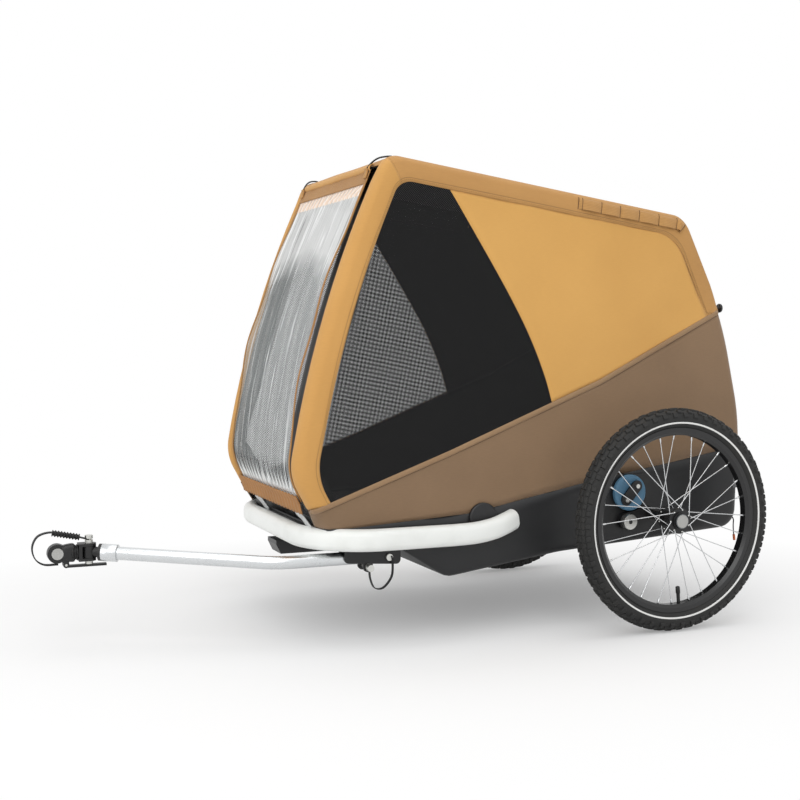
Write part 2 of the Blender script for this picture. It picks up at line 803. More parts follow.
class Bench:
    """Loaded frame, finished materials and the calls that set a piece in place."""

    def __init__(self, frame: dict) -> None:
        """Find the wheel axis in the frame and make every material."""
        self.frame = frame
        low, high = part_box("left_tyre")
        self.axle_x = (low[0] + high[0]) / 2
        self.finish = {key: finish.build() for key, finish in FINISHES.items()}
        self.copies = copies_tree()
        self.stitches = stitch_tree()

    def place(self, spot: Point) -> Vector:
        """Point of the frame, in metres."""
        return Vector((self.axle_x + spot[0] * MM, spot[1] * MM, spot[2] * MM))

    def mesh(self, name: str, spots: Sequence[Point], faces: Sequence, uv: Sequence | None = None,
             out: Point | None = None) -> bpy.types.Mesh:
        """Mesh of points in millimetres.

        Args:
            name: Name of the mesh.
            spots: Its points.
            faces: Point numbers of each face.
            uv: Place of each point along and across the piece.
            out: Point that all faces look away from; without it a closed mesh faces outwards.

        Returns:
            The smooth mesh.
        """
        mesh = bpy.data.meshes.new(name)
        mesh.from_pydata([self.place(p) for p in spots], [], [list(map(int, f)) for f in faces])
        if uv is not None:
            layer = mesh.uv_layers.new(name="cloth")
            for loop in mesh.loops:
                layer.data[loop.index].uv = [c * MM for c in uv[loop.vertex_index]]
        form = bmesh.new()
        form.from_mesh(mesh)
        bmesh.ops.remove_doubles(form, verts=form.verts, dist=WELD)
        bmesh.ops.dissolve_degenerate(form, edges=form.edges, dist=SLIVER)
        if out is None:
            bmesh.ops.recalc_face_normals(form, faces=form.faces)
        else:
            centre = self.place(out)
            facing = sum(f.normal.dot(f.calc_center_median() - centre) * f.calc_area() for f in form.faces)
            if facing < 0:
                bmesh.ops.reverse_faces(form, faces=form.faces)
        for face in form.faces:
            face.smooth = True
        form.to_mesh(mesh)
        form.free()
        return mesh

    def piece(self, name: str, mesh: bpy.types.Mesh, finish: str, body: str | None = "root",
              replaces: Sequence[str] = (), fold: Fold = Fold.STAYS) -> bpy.types.Object:
        """Set a mesh down as a piece of the trailer.

        Args:
            name: Name of the piece.
            mesh: Its mesh.
            finish: Key of its finish.
            body: Body that it rides on; None if it is to be blended between two.
            replaces: Nodes that it stands for.
            fold: Whether it collapses with the bows.

        Returns:
            The object.
        """
        mesh.materials.clear()
        mesh.materials.append(self.finish[finish])
        made = bpy.data.objects.new(name, mesh)
        bpy.context.collection.objects.link(made)
        if body:
            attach(made, body)
        if replaces:
            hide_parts(*replaces)
        if fold is Fold.COLLAPSES:
            anchor = self.place((0, 0, Cabin.FOLD_ANCHOR_Z))
            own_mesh(made)
        LOG.info("%s on %s", name, body or "two bodies")
        return made

    def solid(self, name: str, form: tuple, finish: str, body: str | None = "root",
              replaces: Sequence[str] = (), fold: Fold = Fold.STAYS) -> bpy.types.Object:
        """Piece from the points, faces and UV places of a closed form."""
        return self.piece(name, self.mesh(name, *form), finish, body, replaces, fold)

    def drape(self, name: str, grid: np.ndarray, finish: str, body: str = "root",
              replaces: Sequence[str] = (), uv: np.ndarray | None = None) -> bpy.types.Object:
        """Sheet on a grid of points, which faces out of the cabin and collapses with the bows."""
        uv = grid_uv(grid) if uv is None else uv
        form = (grid.reshape(-1, 3), quads(*grid.shape[:2]), uv, Shell.middle)
        return self.solid(name, form, finish, body, replaces, Fold.COLLAPSES)

    def wall(self, made: bpy.types.Object, thickness: float, lining: str | None = None) -> None:
        """Give a sheet its thickness inwards, with a lining inside."""
        solid = made.modifiers.new("thickness", "SOLIDIFY")
        solid.thickness = thickness * MM
        solid.offset = -1
        if lining:
            made.data.materials.append(self.finish[lining])
            solid.material_offset = 1

    def copy_on(self, name: str, shape: bpy.types.Mesh, marks: Sequence[tuple[Point, Matrix]],
                finish: str) -> bpy.types.Mesh:
        """Copies of a small shape, in metres about its own origin, on turned marks."""
        mesh = bpy.data.meshes.new(name + "_points")
        mesh.from_pydata([self.place(spot) for spot, _ in marks], [], [])
        turn = mesh.attributes.new("turn", "FLOAT_VECTOR", "POINT")
        turn.data.foreach_set("vector", [a for _, pose in marks for a in pose.to_euler()])
        sample = bpy.data.objects.new(name + "_shape", shape)
        bpy.context.collection.objects.link(sample)
        made = self.copies.run(mesh, name, Shape=sample, Finish=self.finish[finish])
        bpy.data.objects.remove(sample)
        return made

    def sew(self, name: str, lines: Sequence[Sequence[Point]], finish: str, pitch: float = 4.4,
            thickness: float = 0.45, stretch: float = 3.4) -> bpy.types.Mesh:
        """Rows of stitches along lines of points."""
        spots, edges = [], []
        for line in lines:
            edges += [(len(spots) + i, len(spots) + i + 1) for i in range(len(line) - 1)]
            spots += [self.place(p) for p in line]
        mesh = bpy.data.meshes.new(name + "_lines")
        mesh.from_pydata(spots, edges, [])
        return self.stitches.run(mesh, name, Pitch=pitch * MM, Thickness=thickness * MM, Stretch=stretch,
                                 Finish=self.finish[finish])


def quads(rows: int, columns: int, tube: bool = False, ring: bool = False) -> list[tuple[int, ...]]:
    """Quads of a grid of points that are numbered row by row.

    Args:
        rows: Number of rows.
        columns: Points in a row.
        tube: Whether the last column joins the first.
        ring: Whether the last row joins the first.

    Returns:
        Point numbers of each quad.
    """
    faces = []
    for r in range(rows if ring else rows - 1):
        base, following = r * columns, (r + 1) % rows * columns
        for c in range(columns if tube else columns - 1):
            ahead = (c + 1) % columns
            faces.append((base + c, base + ahead, following + ahead, following + c))
    return faces


def grid_uv(grid: np.ndarray) -> np.ndarray:
    """Length along and across a grid of points, for its UV map."""
    down = np.linalg.norm(np.diff(grid, axis=0), axis=2).mean(1)
    over = np.linalg.norm(np.diff(grid, axis=1), axis=2)
    along = np.concatenate([[0], np.cumsum(down)])
    across = np.concatenate([np.zeros((len(grid), 1)), np.cumsum(over, axis=1)], axis=1)
    return np.stack([np.broadcast_to(along[:, None], across.shape), across], 2).reshape(-1, 2)


def flat_size(uv: np.ndarray) -> list[float]:
    """Size in metres of the box round a sheet's UV places."""
    return ((uv.max(0) - uv.min(0)) * MM).tolist()


def flat_area(made: bpy.types.Object) -> float:
    """Area of a sheet in square metres."""
    return sum(face.area for face in made.data.polygons)


def coons(low: np.ndarray, high: np.ndarray, start: np.ndarray, end: np.ndarray, count: Point) -> np.ndarray:
    """Grid of side-view points within four border lines.

    Args:
        low: Lower border, from start to end.
        high: Upper border, from start to end.
        start: Border from low to high at the start.
        end: Border from low to high at the end.
        count: Spans along and up.

    Returns:
        Points by column and row.
    """
    low, high = resampled(low, count[0]), resampled(high, count[0])
    start, end = resampled(start, count[1]), resampled(end, count[1])
    u = np.linspace(0, 1, count[0] + 1)[:, None, None]
    v = np.linspace(0, 1, count[1] + 1)[None, :, None]
    sides = (1 - v) * low[:, None] + v * high[:, None] + (1 - u) * start[None] + u * end[None]
    corners = (1 - u) * (1 - v) * low[0] + u * (1 - v) * low[-1] + (1 - u) * v * high[0] + u * v * high[-1]
    return sides - corners


def lengths(line: np.ndarray) -> np.ndarray:
    """Length along a line at each of its points."""
    return np.concatenate([[0], np.cumsum(np.linalg.norm(np.diff(line, axis=0), axis=1))])


def resampled(line: np.ndarray, count: int) -> np.ndarray:
    """A line with evenly spaced points."""
    run = lengths(line)
    where = np.linspace(0, run[-1], count + 1)
    return np.stack([np.interp(where, run, line[:, k]) for k in range(line.shape[1])], 1)


def upright(spots: np.ndarray, y: object) -> np.ndarray:
    """Points in space, from side-view points and their places along Y."""
    return np.stack([spots[..., 0], np.broadcast_to(y, spots.shape[:-1]), spots[..., 1]], -1)


def sideways(line: np.ndarray) -> np.ndarray:
    """Unit vectors square to a flat line, on its left."""
    heading = np.gradient(line, axis=0)
    heading /= np.linalg.norm(heading, axis=1)[:, None]
    return np.stack([-heading[:, 1], heading[:, 0]], 1)


def smooth_line(spots: Sequence[Point], count: int = 10) -> np.ndarray:
    """Smooth line through points, with a number of spans between two of them."""
    rows = np.array(spots, float)
    rows = np.vstack([2 * rows[0] - rows[1], rows, 2 * rows[-1] - rows[-2]])
    line = []
    for a, b, c, d in zip(rows, rows[1:], rows[2:], rows[3:]):
        for t in np.linspace(0, 1, count, endpoint=False):
            pull = 2 * b + (c - a) * t + (2 * a - 5 * b + 4 * c - d) * t**2
            line.append(0.5 * (pull + (3 * b - a - 3 * c + d) * t**3))
    return np.array([*line, rows[-2]])


def sweep(line: np.ndarray, sections: np.ndarray, across: Point) -> tuple[list, list, list]:
    """Solid along a line, with a closed section at each point.

    Args:
        line: Points of its middle.
        sections: Section at each point, as places across the line and above it.
        across: Direction of the sections' first number.

    Returns:
        Points, faces and UV places.
    """
    heading = np.gradient(line, axis=0)
    heading /= np.linalg.norm(heading, axis=1)[:, None]
    wide = np.array(across, float) - (np.array(across, float) * heading).sum(1)[:, None] * heading
    wide = wide / np.linalg.norm(wide, axis=1)[:, None]
    up = np.cross(heading, wide)
    spots = line[:, None] + sections[..., :1] * wide[:, None] + sections[..., 1:] * up[:, None]
    uv = np.stack([np.broadcast_to(lengths(line)[:, None], sections.shape[:2]), sections[..., 0]], 2)
    count, ring = sections.shape[:2]
    faces = quads(count, ring, tube=True)
    faces += [tuple(range(ring)), tuple((count - 1) * ring + c for c in range(ring))]
    return spots.reshape(-1, 3), faces, uv.reshape(-1, 2)


def ribbon(line: np.ndarray, across: Point, width: float, thick: float) -> tuple[list, list, list]:
    """Flat strap along a line, with the direction of its width."""
    half = np.array([(-1, 0), (-0.94, 1), (-0.3, 1), (0.3, 1), (0.94, 1), (1, 0), (0.94, -1), (0.3, -1),
                     (-0.3, -1), (-0.94, -1)])
    section = half * np.array((width / 2, thick / 2))
    return sweep(line, np.broadcast_to(section, (len(line), *section.shape)), across)


def tube(line: np.ndarray, radii: Sequence[float], sides: int = 12) -> tuple[list, list, list]:
    """Round body along a line, with a radius at each point."""
    angles = np.linspace(0, TURN, sides, endpoint=False)
    circle = np.stack([np.cos(angles), np.sin(angles)], 1)
    upright = abs(line[1][1] - line[0][1]) > 0.8 * math.dist(line[0], line[1])
    return sweep(line, np.array(radii)[:, None, None] * circle, (1, 0, 0) if upright else (0, 1, 0))


def lathe(profile: Sequence[Point], centre: Point, count: int) -> tuple[list, list, list]:
    """Ring about a line along Y.

    Args:
        profile: Closed section, as radius and place along Y.
        centre: Middle of the ring.
        count: Spans round it.

    Returns:
        Points, faces and UV places.
    """
    angles = TURN * np.arange(count)[:, None] / count
    radius, width = np.array(profile, float).T
    number = np.arange(len(profile)) + 0 * angles
    spots = np.stack([radius * np.cos(angles), width + 0 * angles, radius * np.sin(angles)], 2)
    spots += np.array(centre)
    uv = np.stack([radius * angles, number], 2)
    return spots.reshape(-1, 3), quads(count, len(profile), tube=True, ring=True), uv.reshape(-1, 2)


# Cabin

@dataclass
class Cabin:
    """Cloth cabin: tub, skirts, panels, windows, edge sleeves, roof and rear."""

    bench: Bench
    shell: Shell = field(default_factory=Shell)
    front_width: float = 43.0
    front_widths: tuple[float, float, float] = (50.0, 56.0, 47.0)
    front_lip: Point = (9.0, 235.0)
    front_edge: float = 29.0
    roof_width: float = 50.0
    rear_width: float = 46.0
    window_turn: float = 40.0
    bulge_turn: float = 120.0
    corner_turn: float = 105.0
    band_turn: float = 36.0
    tuck: float = 3.0
    lip_land: float = 4.0
    edge_fade: float = 0.7
    overlap: float = 1.5
    puff: float = 1.8
    loops_from: float = 181.0
    loop_ends: tuple[float, ...] = (0, 8, 60, 112, 164, 216, 268, 304)
    loop_swell: tuple[float, float, float] = (7.0, 2.0, 10.0)
    loop_short: float = 10.0
    loop_step: float = 3.2
    tack_lift: float = 0.5
    sleeve_stitch: tuple[float, float, float] = (3.5, 4.0, 0.7)
    binding_stitch: tuple[float, float] = (9.5, 0.4)
    binding_run: tuple[float, float, int] = (-200, 800, 120)
    stitch: tuple[float, float, float] = (4.4, 0.45, 3.4)
    tack: tuple[float, float, float] = (1.4, 0.8, 1.4)
    stitch_above: float = 4.0
    loop_section: tuple[Point, ...] = (
        (10, 0.3), (12, 0.6), (17, 0.8), (23, 0.9), (29, 1.0), (34, 1.1), (36, 1.15),
    )
    tape_z: tuple[float, float] = (392.0, 300.0)
    tape_in: float = 12.0
    tape_width: float = 14.0
    webbing: float = 1.4
    window_edge: tuple[Point, ...] = (
        (228, 440), (247, 510), (271, 584), (316, 682), (386, 799), (476, 936), (560, 1062),
    )
    net_turns: tuple[float, float] = (36.0, 54.0)
    net_spans: tuple[int, int] = (40, 40)
    net_wave: float = 0.7
    panel_spans: tuple[int, int] = (46, 36)
    panel_wave: float = 1.1
    wave_pitches: tuple[float, float] = (190.0, 61.0)
    fine_wave: float = 0.3
    roof_step: float = 14.0
    roof_sag: float = 3.5
    roof_wave: tuple[float, float] = (160.0, 0.8)
    skirt_wave: tuple[float, float] = (150.0, 0.9)
    skirt_margin: float = 40.0
    skirt_near: tuple[float, ...] = (0, 0.3, 1.2, 2.7, 5, 8, 12, 16, 20)
    skirt_even: int = 40
    skirt_rows: int = 12
    end_tries: int = 12
    tub_climb: tuple[float, ...] = (0, 0.004, 0.015, 0.035, 0.065, 0.1, 0.16, 0.24, 0.36, 0.5, 0.66, 0.83, 1)
    tub_pinch: tuple[float, float, float] = (5.0, 246.0, 40.0)
    tub_wave: tuple[float, float] = (130.0, 1.4)
    tub_step: float = 11.0
    binding_guess: tuple[float, float] = (-250.0, 830.0)
    binding_margin: float = 32.0
    binding_even: int = 70
    binding_near: tuple[float, ...] = (0.2, 2, 5, 9, 14, 20)
    binding_section: tuple[Point, ...] = (
        (-8, 0.2), (-7, 1.7), (-3.5, 2.3), (0, 2.4), (2.6, 2.0), (4, 0.4),
    )
    runs: tuple[int, ...] = (14, 22, 26, 54, 16, 8)
    turn: int = 10
    proud: float = 0.8
    cloth: float = 1.2
    cover_top: float = 1030.6
    roof_end: float = 900.0
    rear_split: float = 738.0
    FOLD_ANCHOR_Z: ClassVar[float] = 247.0
    FOLD_KEEP: ClassVar[float] = 0.3235

    def build(self) -> None:
        """Make every cloth piece of the cabin."""
        shell = self.shell
        self.outer, self.inner, self.mitre = self.band_lines()
        self.tacks = []
        self.tub()
        roof_end, split, foot = (shell.rear_at(z) for z in (self.roof_end, self.rear_split, shell.tub_rear))
        self.middle_cloth("roof_cloth", shell.front_at(self.cover_top), roof_end, "band_tan", "roof_panel")
        self.middle_cloth("rear_panel_upper", roof_end, split, "rear_tan", "rear_panel")
        self.middle_cloth("rear_panel_lower", split, foot, "skirt_brown", "rear_panel")
        for side in Side:
            self.skirt(side)
            self.bands(side)
            self.fields(side)
            self.binding(side)
            self.pockets(side)
            self.corner_tape(side)
        self.seams()

    def sheet(self, name: str, grid: np.ndarray, finish: str, node: str, lining: str = "lining_black",
              body: str = "root") -> None:
        """Set a grid of points down as stretched cloth.

        Args:
            name: Name of the piece.
            grid: Points by row and column.
            finish: Key of its outer finish.
            node: Node that it stands for.
            lining: Key of its inner finish.
            body: Body that it rides on.
        """
        uv = grid_uv(grid)
        made = self.bench.drape(name, grid, finish, body, [node], uv)
        self.bench.wall(made, self.cloth, lining)
        along, across = flat_size(uv)
        min(flat_area(made), along * across)

    def band_lines(self) -> tuple[np.ndarray, np.ndarray, int]:
        """Outer and inner line of the edge sleeves, from the front foot over the roof to the rear.

        Returns:
            Both lines, point for point, and the number of the point at the mitre.
        """
        shell = self.shell
        outer = [shell.front_foot, shell.front_bulge, shell.front_mid, shell.front_top, shell.rear_top,
                 shell.rear_back, shell.rear_low]
        bulge, middle, top = self.front_widths
        widths = ((0, self.front_width), (self.front_width, bulge), (middle, middle), (top, self.roof_width),
                  (self.roof_width, self.rear_width), (self.rear_width, self.rear_width),
                  (self.rear_width, self.rear_width))
        turns = (0, self.bulge_turn, shell.front_mid[2], self.window_turn, self.corner_turn,
                 self.band_turn, 0)
        befores, afters = [shell.belly[-1], *outer], [*outer[1:], shell.rear_foot]
        inner = [(*inset(before, spot, after, *width), turn)
                 for before, spot, after, width, turn in zip(befores, outer, afters, widths, turns)]
        mitre = sum(self.runs[:3]) + 3 * self.turn - self.turn // 2
        return rounded(outer, self.runs, self.turn), rounded(inner, self.runs, self.turn), mitre

    def section(self, width: float, edge: float, lip: Point) -> list[Point]:
        """Section of a sleeve, from lip to inner edge, as depths from the outline and places along Y."""
        half = self.shell.half
        arc = [(edge * (1 - math.cos(a)), half - edge + edge * math.sin(a)) for a in steps(0, math.pi / 2, 9)]
        flat = [(edge + (width - edge) * share, half) for share in steps(0, 1, 5)[1:]]
        return [lip, (-self.proud, max(lip[1] + self.lip_land, half - edge)), *arc[1:], *flat]

    def strip(self, part: range, width: float, side: Side, lip: Point, edge: float) -> np.ndarray:
        """Edge sleeve between two points of the band lines, clipped at the seam.

        Args:
            part: Numbers of its points.
            width: Its width on the side.
            side: Side of the trailer.
            lip: Depth and place along Y of its other edge.
            edge: Radius of its rounded edge, which fades to the cabin's own at the last point.

        Returns:
            Points by row along it and column across it, from the inner edge to the lip.
        """
        shell = self.shell
        rows = []
        for number in part:
            out, within = self.outer[number], self.inner[number]
            late = max(0.0, (number - part[0]) / len(part) - self.edge_fade) / (1 - self.edge_fade)
            turn = edge + (shell.edge - edge) * late
            span = np.linalg.norm(within - out)
            row = []
            for d, y in self.section(width, turn, lip):
                reach = d if d <= turn else turn + (d - turn) * (span - turn + self.overlap) / (width - turn)
                x, z = out + (within - out) / span * reach
                puff = math.sin(math.pi * max(0, d - turn) / (width - turn)) * self.puff
                row.append((x, side.value * (y + puff + self.proud), z))
            rows.append(row)
        grid = np.array(rows)
        seam = level(shell.seam, grid[:, :, 0])
        keep = np.flatnonzero((grid[:, :, 2] >= seam).any(1))
        grid[:, :, 2] = np.maximum(grid[:, :, 2], seam)
        return grid[max(keep[0] - 1, 0) : keep[-1] + 2, ::-1]

    def bands(self, side: Side) -> None:
        """Front sleeve and roof sleeve of one side."""
        front = self.strip(range(self.mitre + 1), self.front_width, side, self.front_lip, self.front_edge)
        self.sheet(f"front_band_{side.word}", front, "sleeve_tan", "front_bands")
        lip = (-self.proud, self.shell.fold)
        roof = self.strip(range(self.mitre, len(self.outer)), self.roof_width, side, lip, self.shell.edge)
        self.sheet(f"roof_band_{side.word}", roof, "band_tan", "roof_bands")

    def tucked(self, x: object) -> object:
        """Height of the hidden lower edge of panel and window at a place along X."""
        return level(self.shell.seam, x) - self.tuck

    def above_tuck(self, line: np.ndarray, count: int) -> np.ndarray:
        """What lies above that edge of a line, finely divided."""
        fine = resampled(line, count)
        return fine[fine[:, 1] >= self.tucked(fine[:, 0])]

    def side_grid(self, edge: np.ndarray, far: np.ndarray, top: np.ndarray, count: Point) -> np.ndarray:
        """Side-view grid between the window's edge and another border, under part of the roof sleeve."""
        x = np.linspace(edge[0][0], far[0][0], 60)
        low = np.stack([x, self.tucked(x)], 1)
        return coons(low, np.vstack([edge[-1:], top]), edge, far, count)

    def waved(self, flat: np.ndarray, side: Side, height: float) -> np.ndarray:
        """Side cloth on side-view points, with soft waves."""
        broad, fine = (ripple(flat[..., 0], flat[..., 1], pitch) for pitch in self.wave_pitches)
        return upright(flat, side.value * (self.shell.half + broad * height + fine * height * self.fine_wave))

    def fields(self, side: Side) -> None:
        """Side panel and mesh window of one side, within the sleeves."""
        roof_run = self.mitre + self.turn // 2 + self.runs[3]
        rear_turn = roof_run + self.turn // 2
        edge = self.above_tuck(smooth_line(self.window_edge, 30), 400)
        edge = edge[edge[:, 1] <= level(self.inner[self.mitre : roof_run], edge[:, 0])]
        top = self.inner[self.mitre : rear_turn + 1]
        ahead, behind = top[top[:, 0] > edge[-1][0]], top[top[:, 0] < edge[-1][0]]
        rear = self.above_tuck(self.inner[rear_turn:], 600)[::-1]
        front = self.above_tuck(self.inner[: self.mitre + 1], 900)
        panel = self.waved(self.side_grid(edge, rear, behind, self.panel_spans), side, self.panel_wave)
        self.sheet(f"side_panel_{side.word}", panel, "panel_tan", "side_panels")
        window = self.waved(self.side_grid(edge, front, ahead[::-1], self.net_spans), side, self.net_wave)
        self.window(f"side_window_{side.word}", window, self.net_turns[side is Side.RIGHT])

    def window(self, name: str, grid: np.ndarray, turn: float) -> None:
        """Mesh window: one thin net, with its threads turned by an angle in degrees."""
        c, s = math.cos(math.radians(turn)), math.sin(math.radians(turn))
        uv = grid.reshape(-1, 3)[:, [0, 2]] @ np.array(((c, -s), (s, c)))
        made = self.bench.drape(name, grid, "window_mesh", "root", ["side_windows"], uv)
        tuple(flat_size(uv))

    def skirt_z(self, share: float, x: object) -> object:
        """Height of the skirt at a place along X, some share of the way from the tub to the seam."""
        return (1 - share) * level(self.shell.tub_top, x) + share * level(self.shell.seam, x)

    def skirt_x(self, share: float, guess: Point, near: Point, margin: float, count: int) -> np.ndarray:
        """Places along X of such a line on the skirt.

        Args:
            share: Share of the way from the tub to the seam.
            guess: Where the search for its rear and front end starts.
            near: Distances of the close places at both ends.
            margin: Distance of the even places from both ends.
            count: Number of even places.

        Returns:
            The places, from the rear to the front.
        """
        rear, front = guess
        for _ in range(self.end_tries):
            rear = self.shell.rear_at(float(self.skirt_z(share, rear)))[0]
            front = self.shell.foot_at(float(self.skirt_z(share, front)))[0]
        ends, even = np.array(near), np.linspace(rear + margin, front - margin, count)
        return np.concatenate([rear + ends, even, front - ends[::-1]])

    def skirt(self, side: Side) -> None:
        """Brown cloth between the tub and the seam, round both corners to the fold."""
        shell = self.shell
        pitch, height = self.skirt_wave
        guess = (shell.rear_low[0], shell.front_foot[0])
        rows = []
        for share in steps(0, 1, self.skirt_rows):
            x = self.skirt_x(share, guess, self.skirt_near, self.skirt_margin, self.skirt_even)
            spots = np.stack([x, self.skirt_z(share, x)], 1)
            row = upright(spots, side.value * (shell.side_y(spots) + ripple(x, spots[:, 1], pitch) * height))
            ends = row[[0, -1]]
            ends[:, 1] = side.value * (shell.fold - shell.narrow(ends[:, ::2]))
            rows.append(np.vstack([ends[:1], row, ends[1:]]))
        self.sheet(f"side_skirt_{side.word}", np.array(rows), "skirt_brown", "side_skirts")

    def middle_cloth(self, name: str, start: Point, end: Point, finish: str, node: str) -> None:
        """Cloth across the trailer between the two sleeves, along a stretch of the outline.

        Args:
            name: Name of the piece.
            start: Spot of the outline where it starts.
            end: Spot where it ends.
            finish: Key of its finish.
            node: Node that it stands for.
        """
        line = self.shell.between(start, end, self.roof_step)
        across = np.linspace(-self.shell.fold, self.shell.fold, 31)
        ends = np.sin(np.linspace(0, math.pi, len(line)))
        sag = (1 - (across / self.shell.fold) ** 2)[None] * (self.roof_sag * ends[:, None])
        pitch, height = self.roof_wave
        wave = height * ripple(line[:, :1], across[None], pitch)
        spots = line[:, None] + sideways(line)[:, None] * (sag + wave)[..., None]
        self.sheet(name, upright(spots, across), finish, node)

    def tub(self) -> None:
        """Black coated tub: two low sides and the belly between them, in one sheet."""
        shell = self.shell
        start, end = shell.rear_at(shell.tub_rear), shell.foot_at(float(shell.tub_top[-1][1]))
        line = shell.between(start, end, self.tub_step)
        tops = line[0][0] + np.linspace(0, 1, len(line)) * (line[-1][0] - line[0][0])
        rim = np.stack([tops, level(shell.tub_top, tops)], 1)
        pinch, pinch_z, pinch_run = self.tub_pinch
        pitch, height = self.tub_wave
        walls = []
        for share in self.tub_climb:
            spots = line + (rim - line) * share
            y = shell.side_y(spots) + ripple(spots[:, 0], spots[:, 1], pitch) * height * min(1, share * 3)
            y -= pinch * np.clip((pinch_z - spots[:, 1]) / pinch_run, 0, 1) * min(1, share * 8)
            walls.append(upright(spots, y))
        inside = shell.half - shell.edge - shell.narrow(line)
        belly = [upright(line, inside * share) for share in np.linspace(1, -1, 15)[1:-1]]
        far = [wall * np.array((1, -1, 1)) for wall in walls]
        self.sheet("tub_cloth", np.stack([*walls[::-1], *belly, *far], 1), "tub_black", "tub", "tub_black")

    def binding(self, side: Side) -> None:
        """Folded tape over the seam between the skirt and the upper cloth."""
        shell = self.shell
        x = self.skirt_x(1.0, self.binding_guess, self.binding_near, self.binding_margin, self.binding_even)
        middle = np.stack([x, level(shell.seam, x)], 1)
        columns = []
        for across, rise in self.binding_section:
            spots = middle + sideways(middle) * across
            columns.append(upright(spots, side.value * (shell.side_y(spots) + rise + self.proud)))
        name = f"seam_binding_{side.word}"
        self.sheet(name, np.stack(columns, 1), "binding_brown", "side_skirts", "binding_brown")

    def pockets(self, side: Side) -> None:
        """Row of webbing loops on the roof sleeve, from a sewn end to a folded tab at the rear corner."""
        shell, ends = self.shell, np.array(self.loop_ends)
        rise = shell.roof_slope * (self.loops_from - shell.rear_top[0])
        start = (self.loops_from, shell.rear_top[1] + rise)
        line = shell.between(start, shell.rear_at(shell.rear_back[1]), self.loop_step)
        run = lengths(line)
        line, run = line[run <= ends[-1]], run[run <= ends[-1]]
        last = len(ends) - 2
        number = np.clip(np.searchsorted(ends, run, "right") - 1, 0, last)
        low, high = ends[number], ends[number + 1]
        arch = np.sin(np.clip((run - low) / (high - low), 0, 1) * math.pi) ** 0.4
        loop, sewn, tab = self.loop_swell
        swell = np.where(number == last, tab, np.where(high - low > self.loop_short, loop, sewn))
        columns = []
        for depth, share in self.loop_section:
            spots = line + sideways(line) * depth
            y = shell.side_y(spots) + self.cloth + self.proud + arch * swell * share
            columns.append(upright(spots, side.value * y))
        grid = np.stack(columns, 1)
        self.bench.wall(self.bench.drape(f"roof_loops_{side.word}", grid, "webbing_tan"), self.webbing)
        lift = np.array((0, side.value * self.tack_lift, 0))
        self.tacks += [grid[np.argmin(np.abs(run - place))] + lift for place in self.loop_ends]

    def corner_tape(self, side: Side) -> None:
        """Grey reflective tape on the tub's rear corner."""
        shell = self.shell
        edge = np.array([shell.rear_at(z) for z in np.linspace(*self.tape_z, 14)])
        spots = edge + np.array((self.tape_in, 0))
        line = upright(spots, side.value * (shell.side_y(spots) + self.proud))
        tape = ribbon(line, (1, 0, 0), self.tape_width, self.webbing)
        self.bench.solid(f"corner_tape_{side.word}", tape, "tape_grey", fold=Fold.COLLAPSES)

    def seams(self) -> None:
        """Stitch rows along the sleeves and the bindings of both sides."""
        shell = self.shell
        front_in, roof_in, lift = self.sleeve_stitch
        under, clear = self.binding_stitch
        tan, brown = [], []
        for side in Side:
            for first, last, back in ((0, self.mitre, front_in), (self.mitre, len(self.outer) - 1, roof_in)):
                out, within = self.outer[first : last + 1], self.inner[first : last + 1]
                span = np.linalg.norm(within - out, axis=1)[:, None]
                spots = within - (within - out) / span * back
                spots = spots[spots[:, 1] > level(shell.seam, spots[:, 0]) + self.stitch_above]
                tan.append(upright(spots, side.value * (shell.half + self.proud + lift)))
            x = np.linspace(*self.binding_run)
            spots = np.stack([x, level(shell.seam, x) - under], 1)
            brown.append(upright(spots, side.value * (shell.side_y(spots) + clear)))
        for name, lines, finish, sizes in (
            ("sleeve_stitches", tan, "thread_tan", self.stitch),
            ("binding_stitches", brown, "thread_brown", self.stitch),
            ("loop_tacks", self.tacks, "thread_brown", self.tack),
        ):
            self.bench.piece(name, self.bench.sew(name, lines, finish, *sizes), finish, fold=Fold.COLLAPSES)


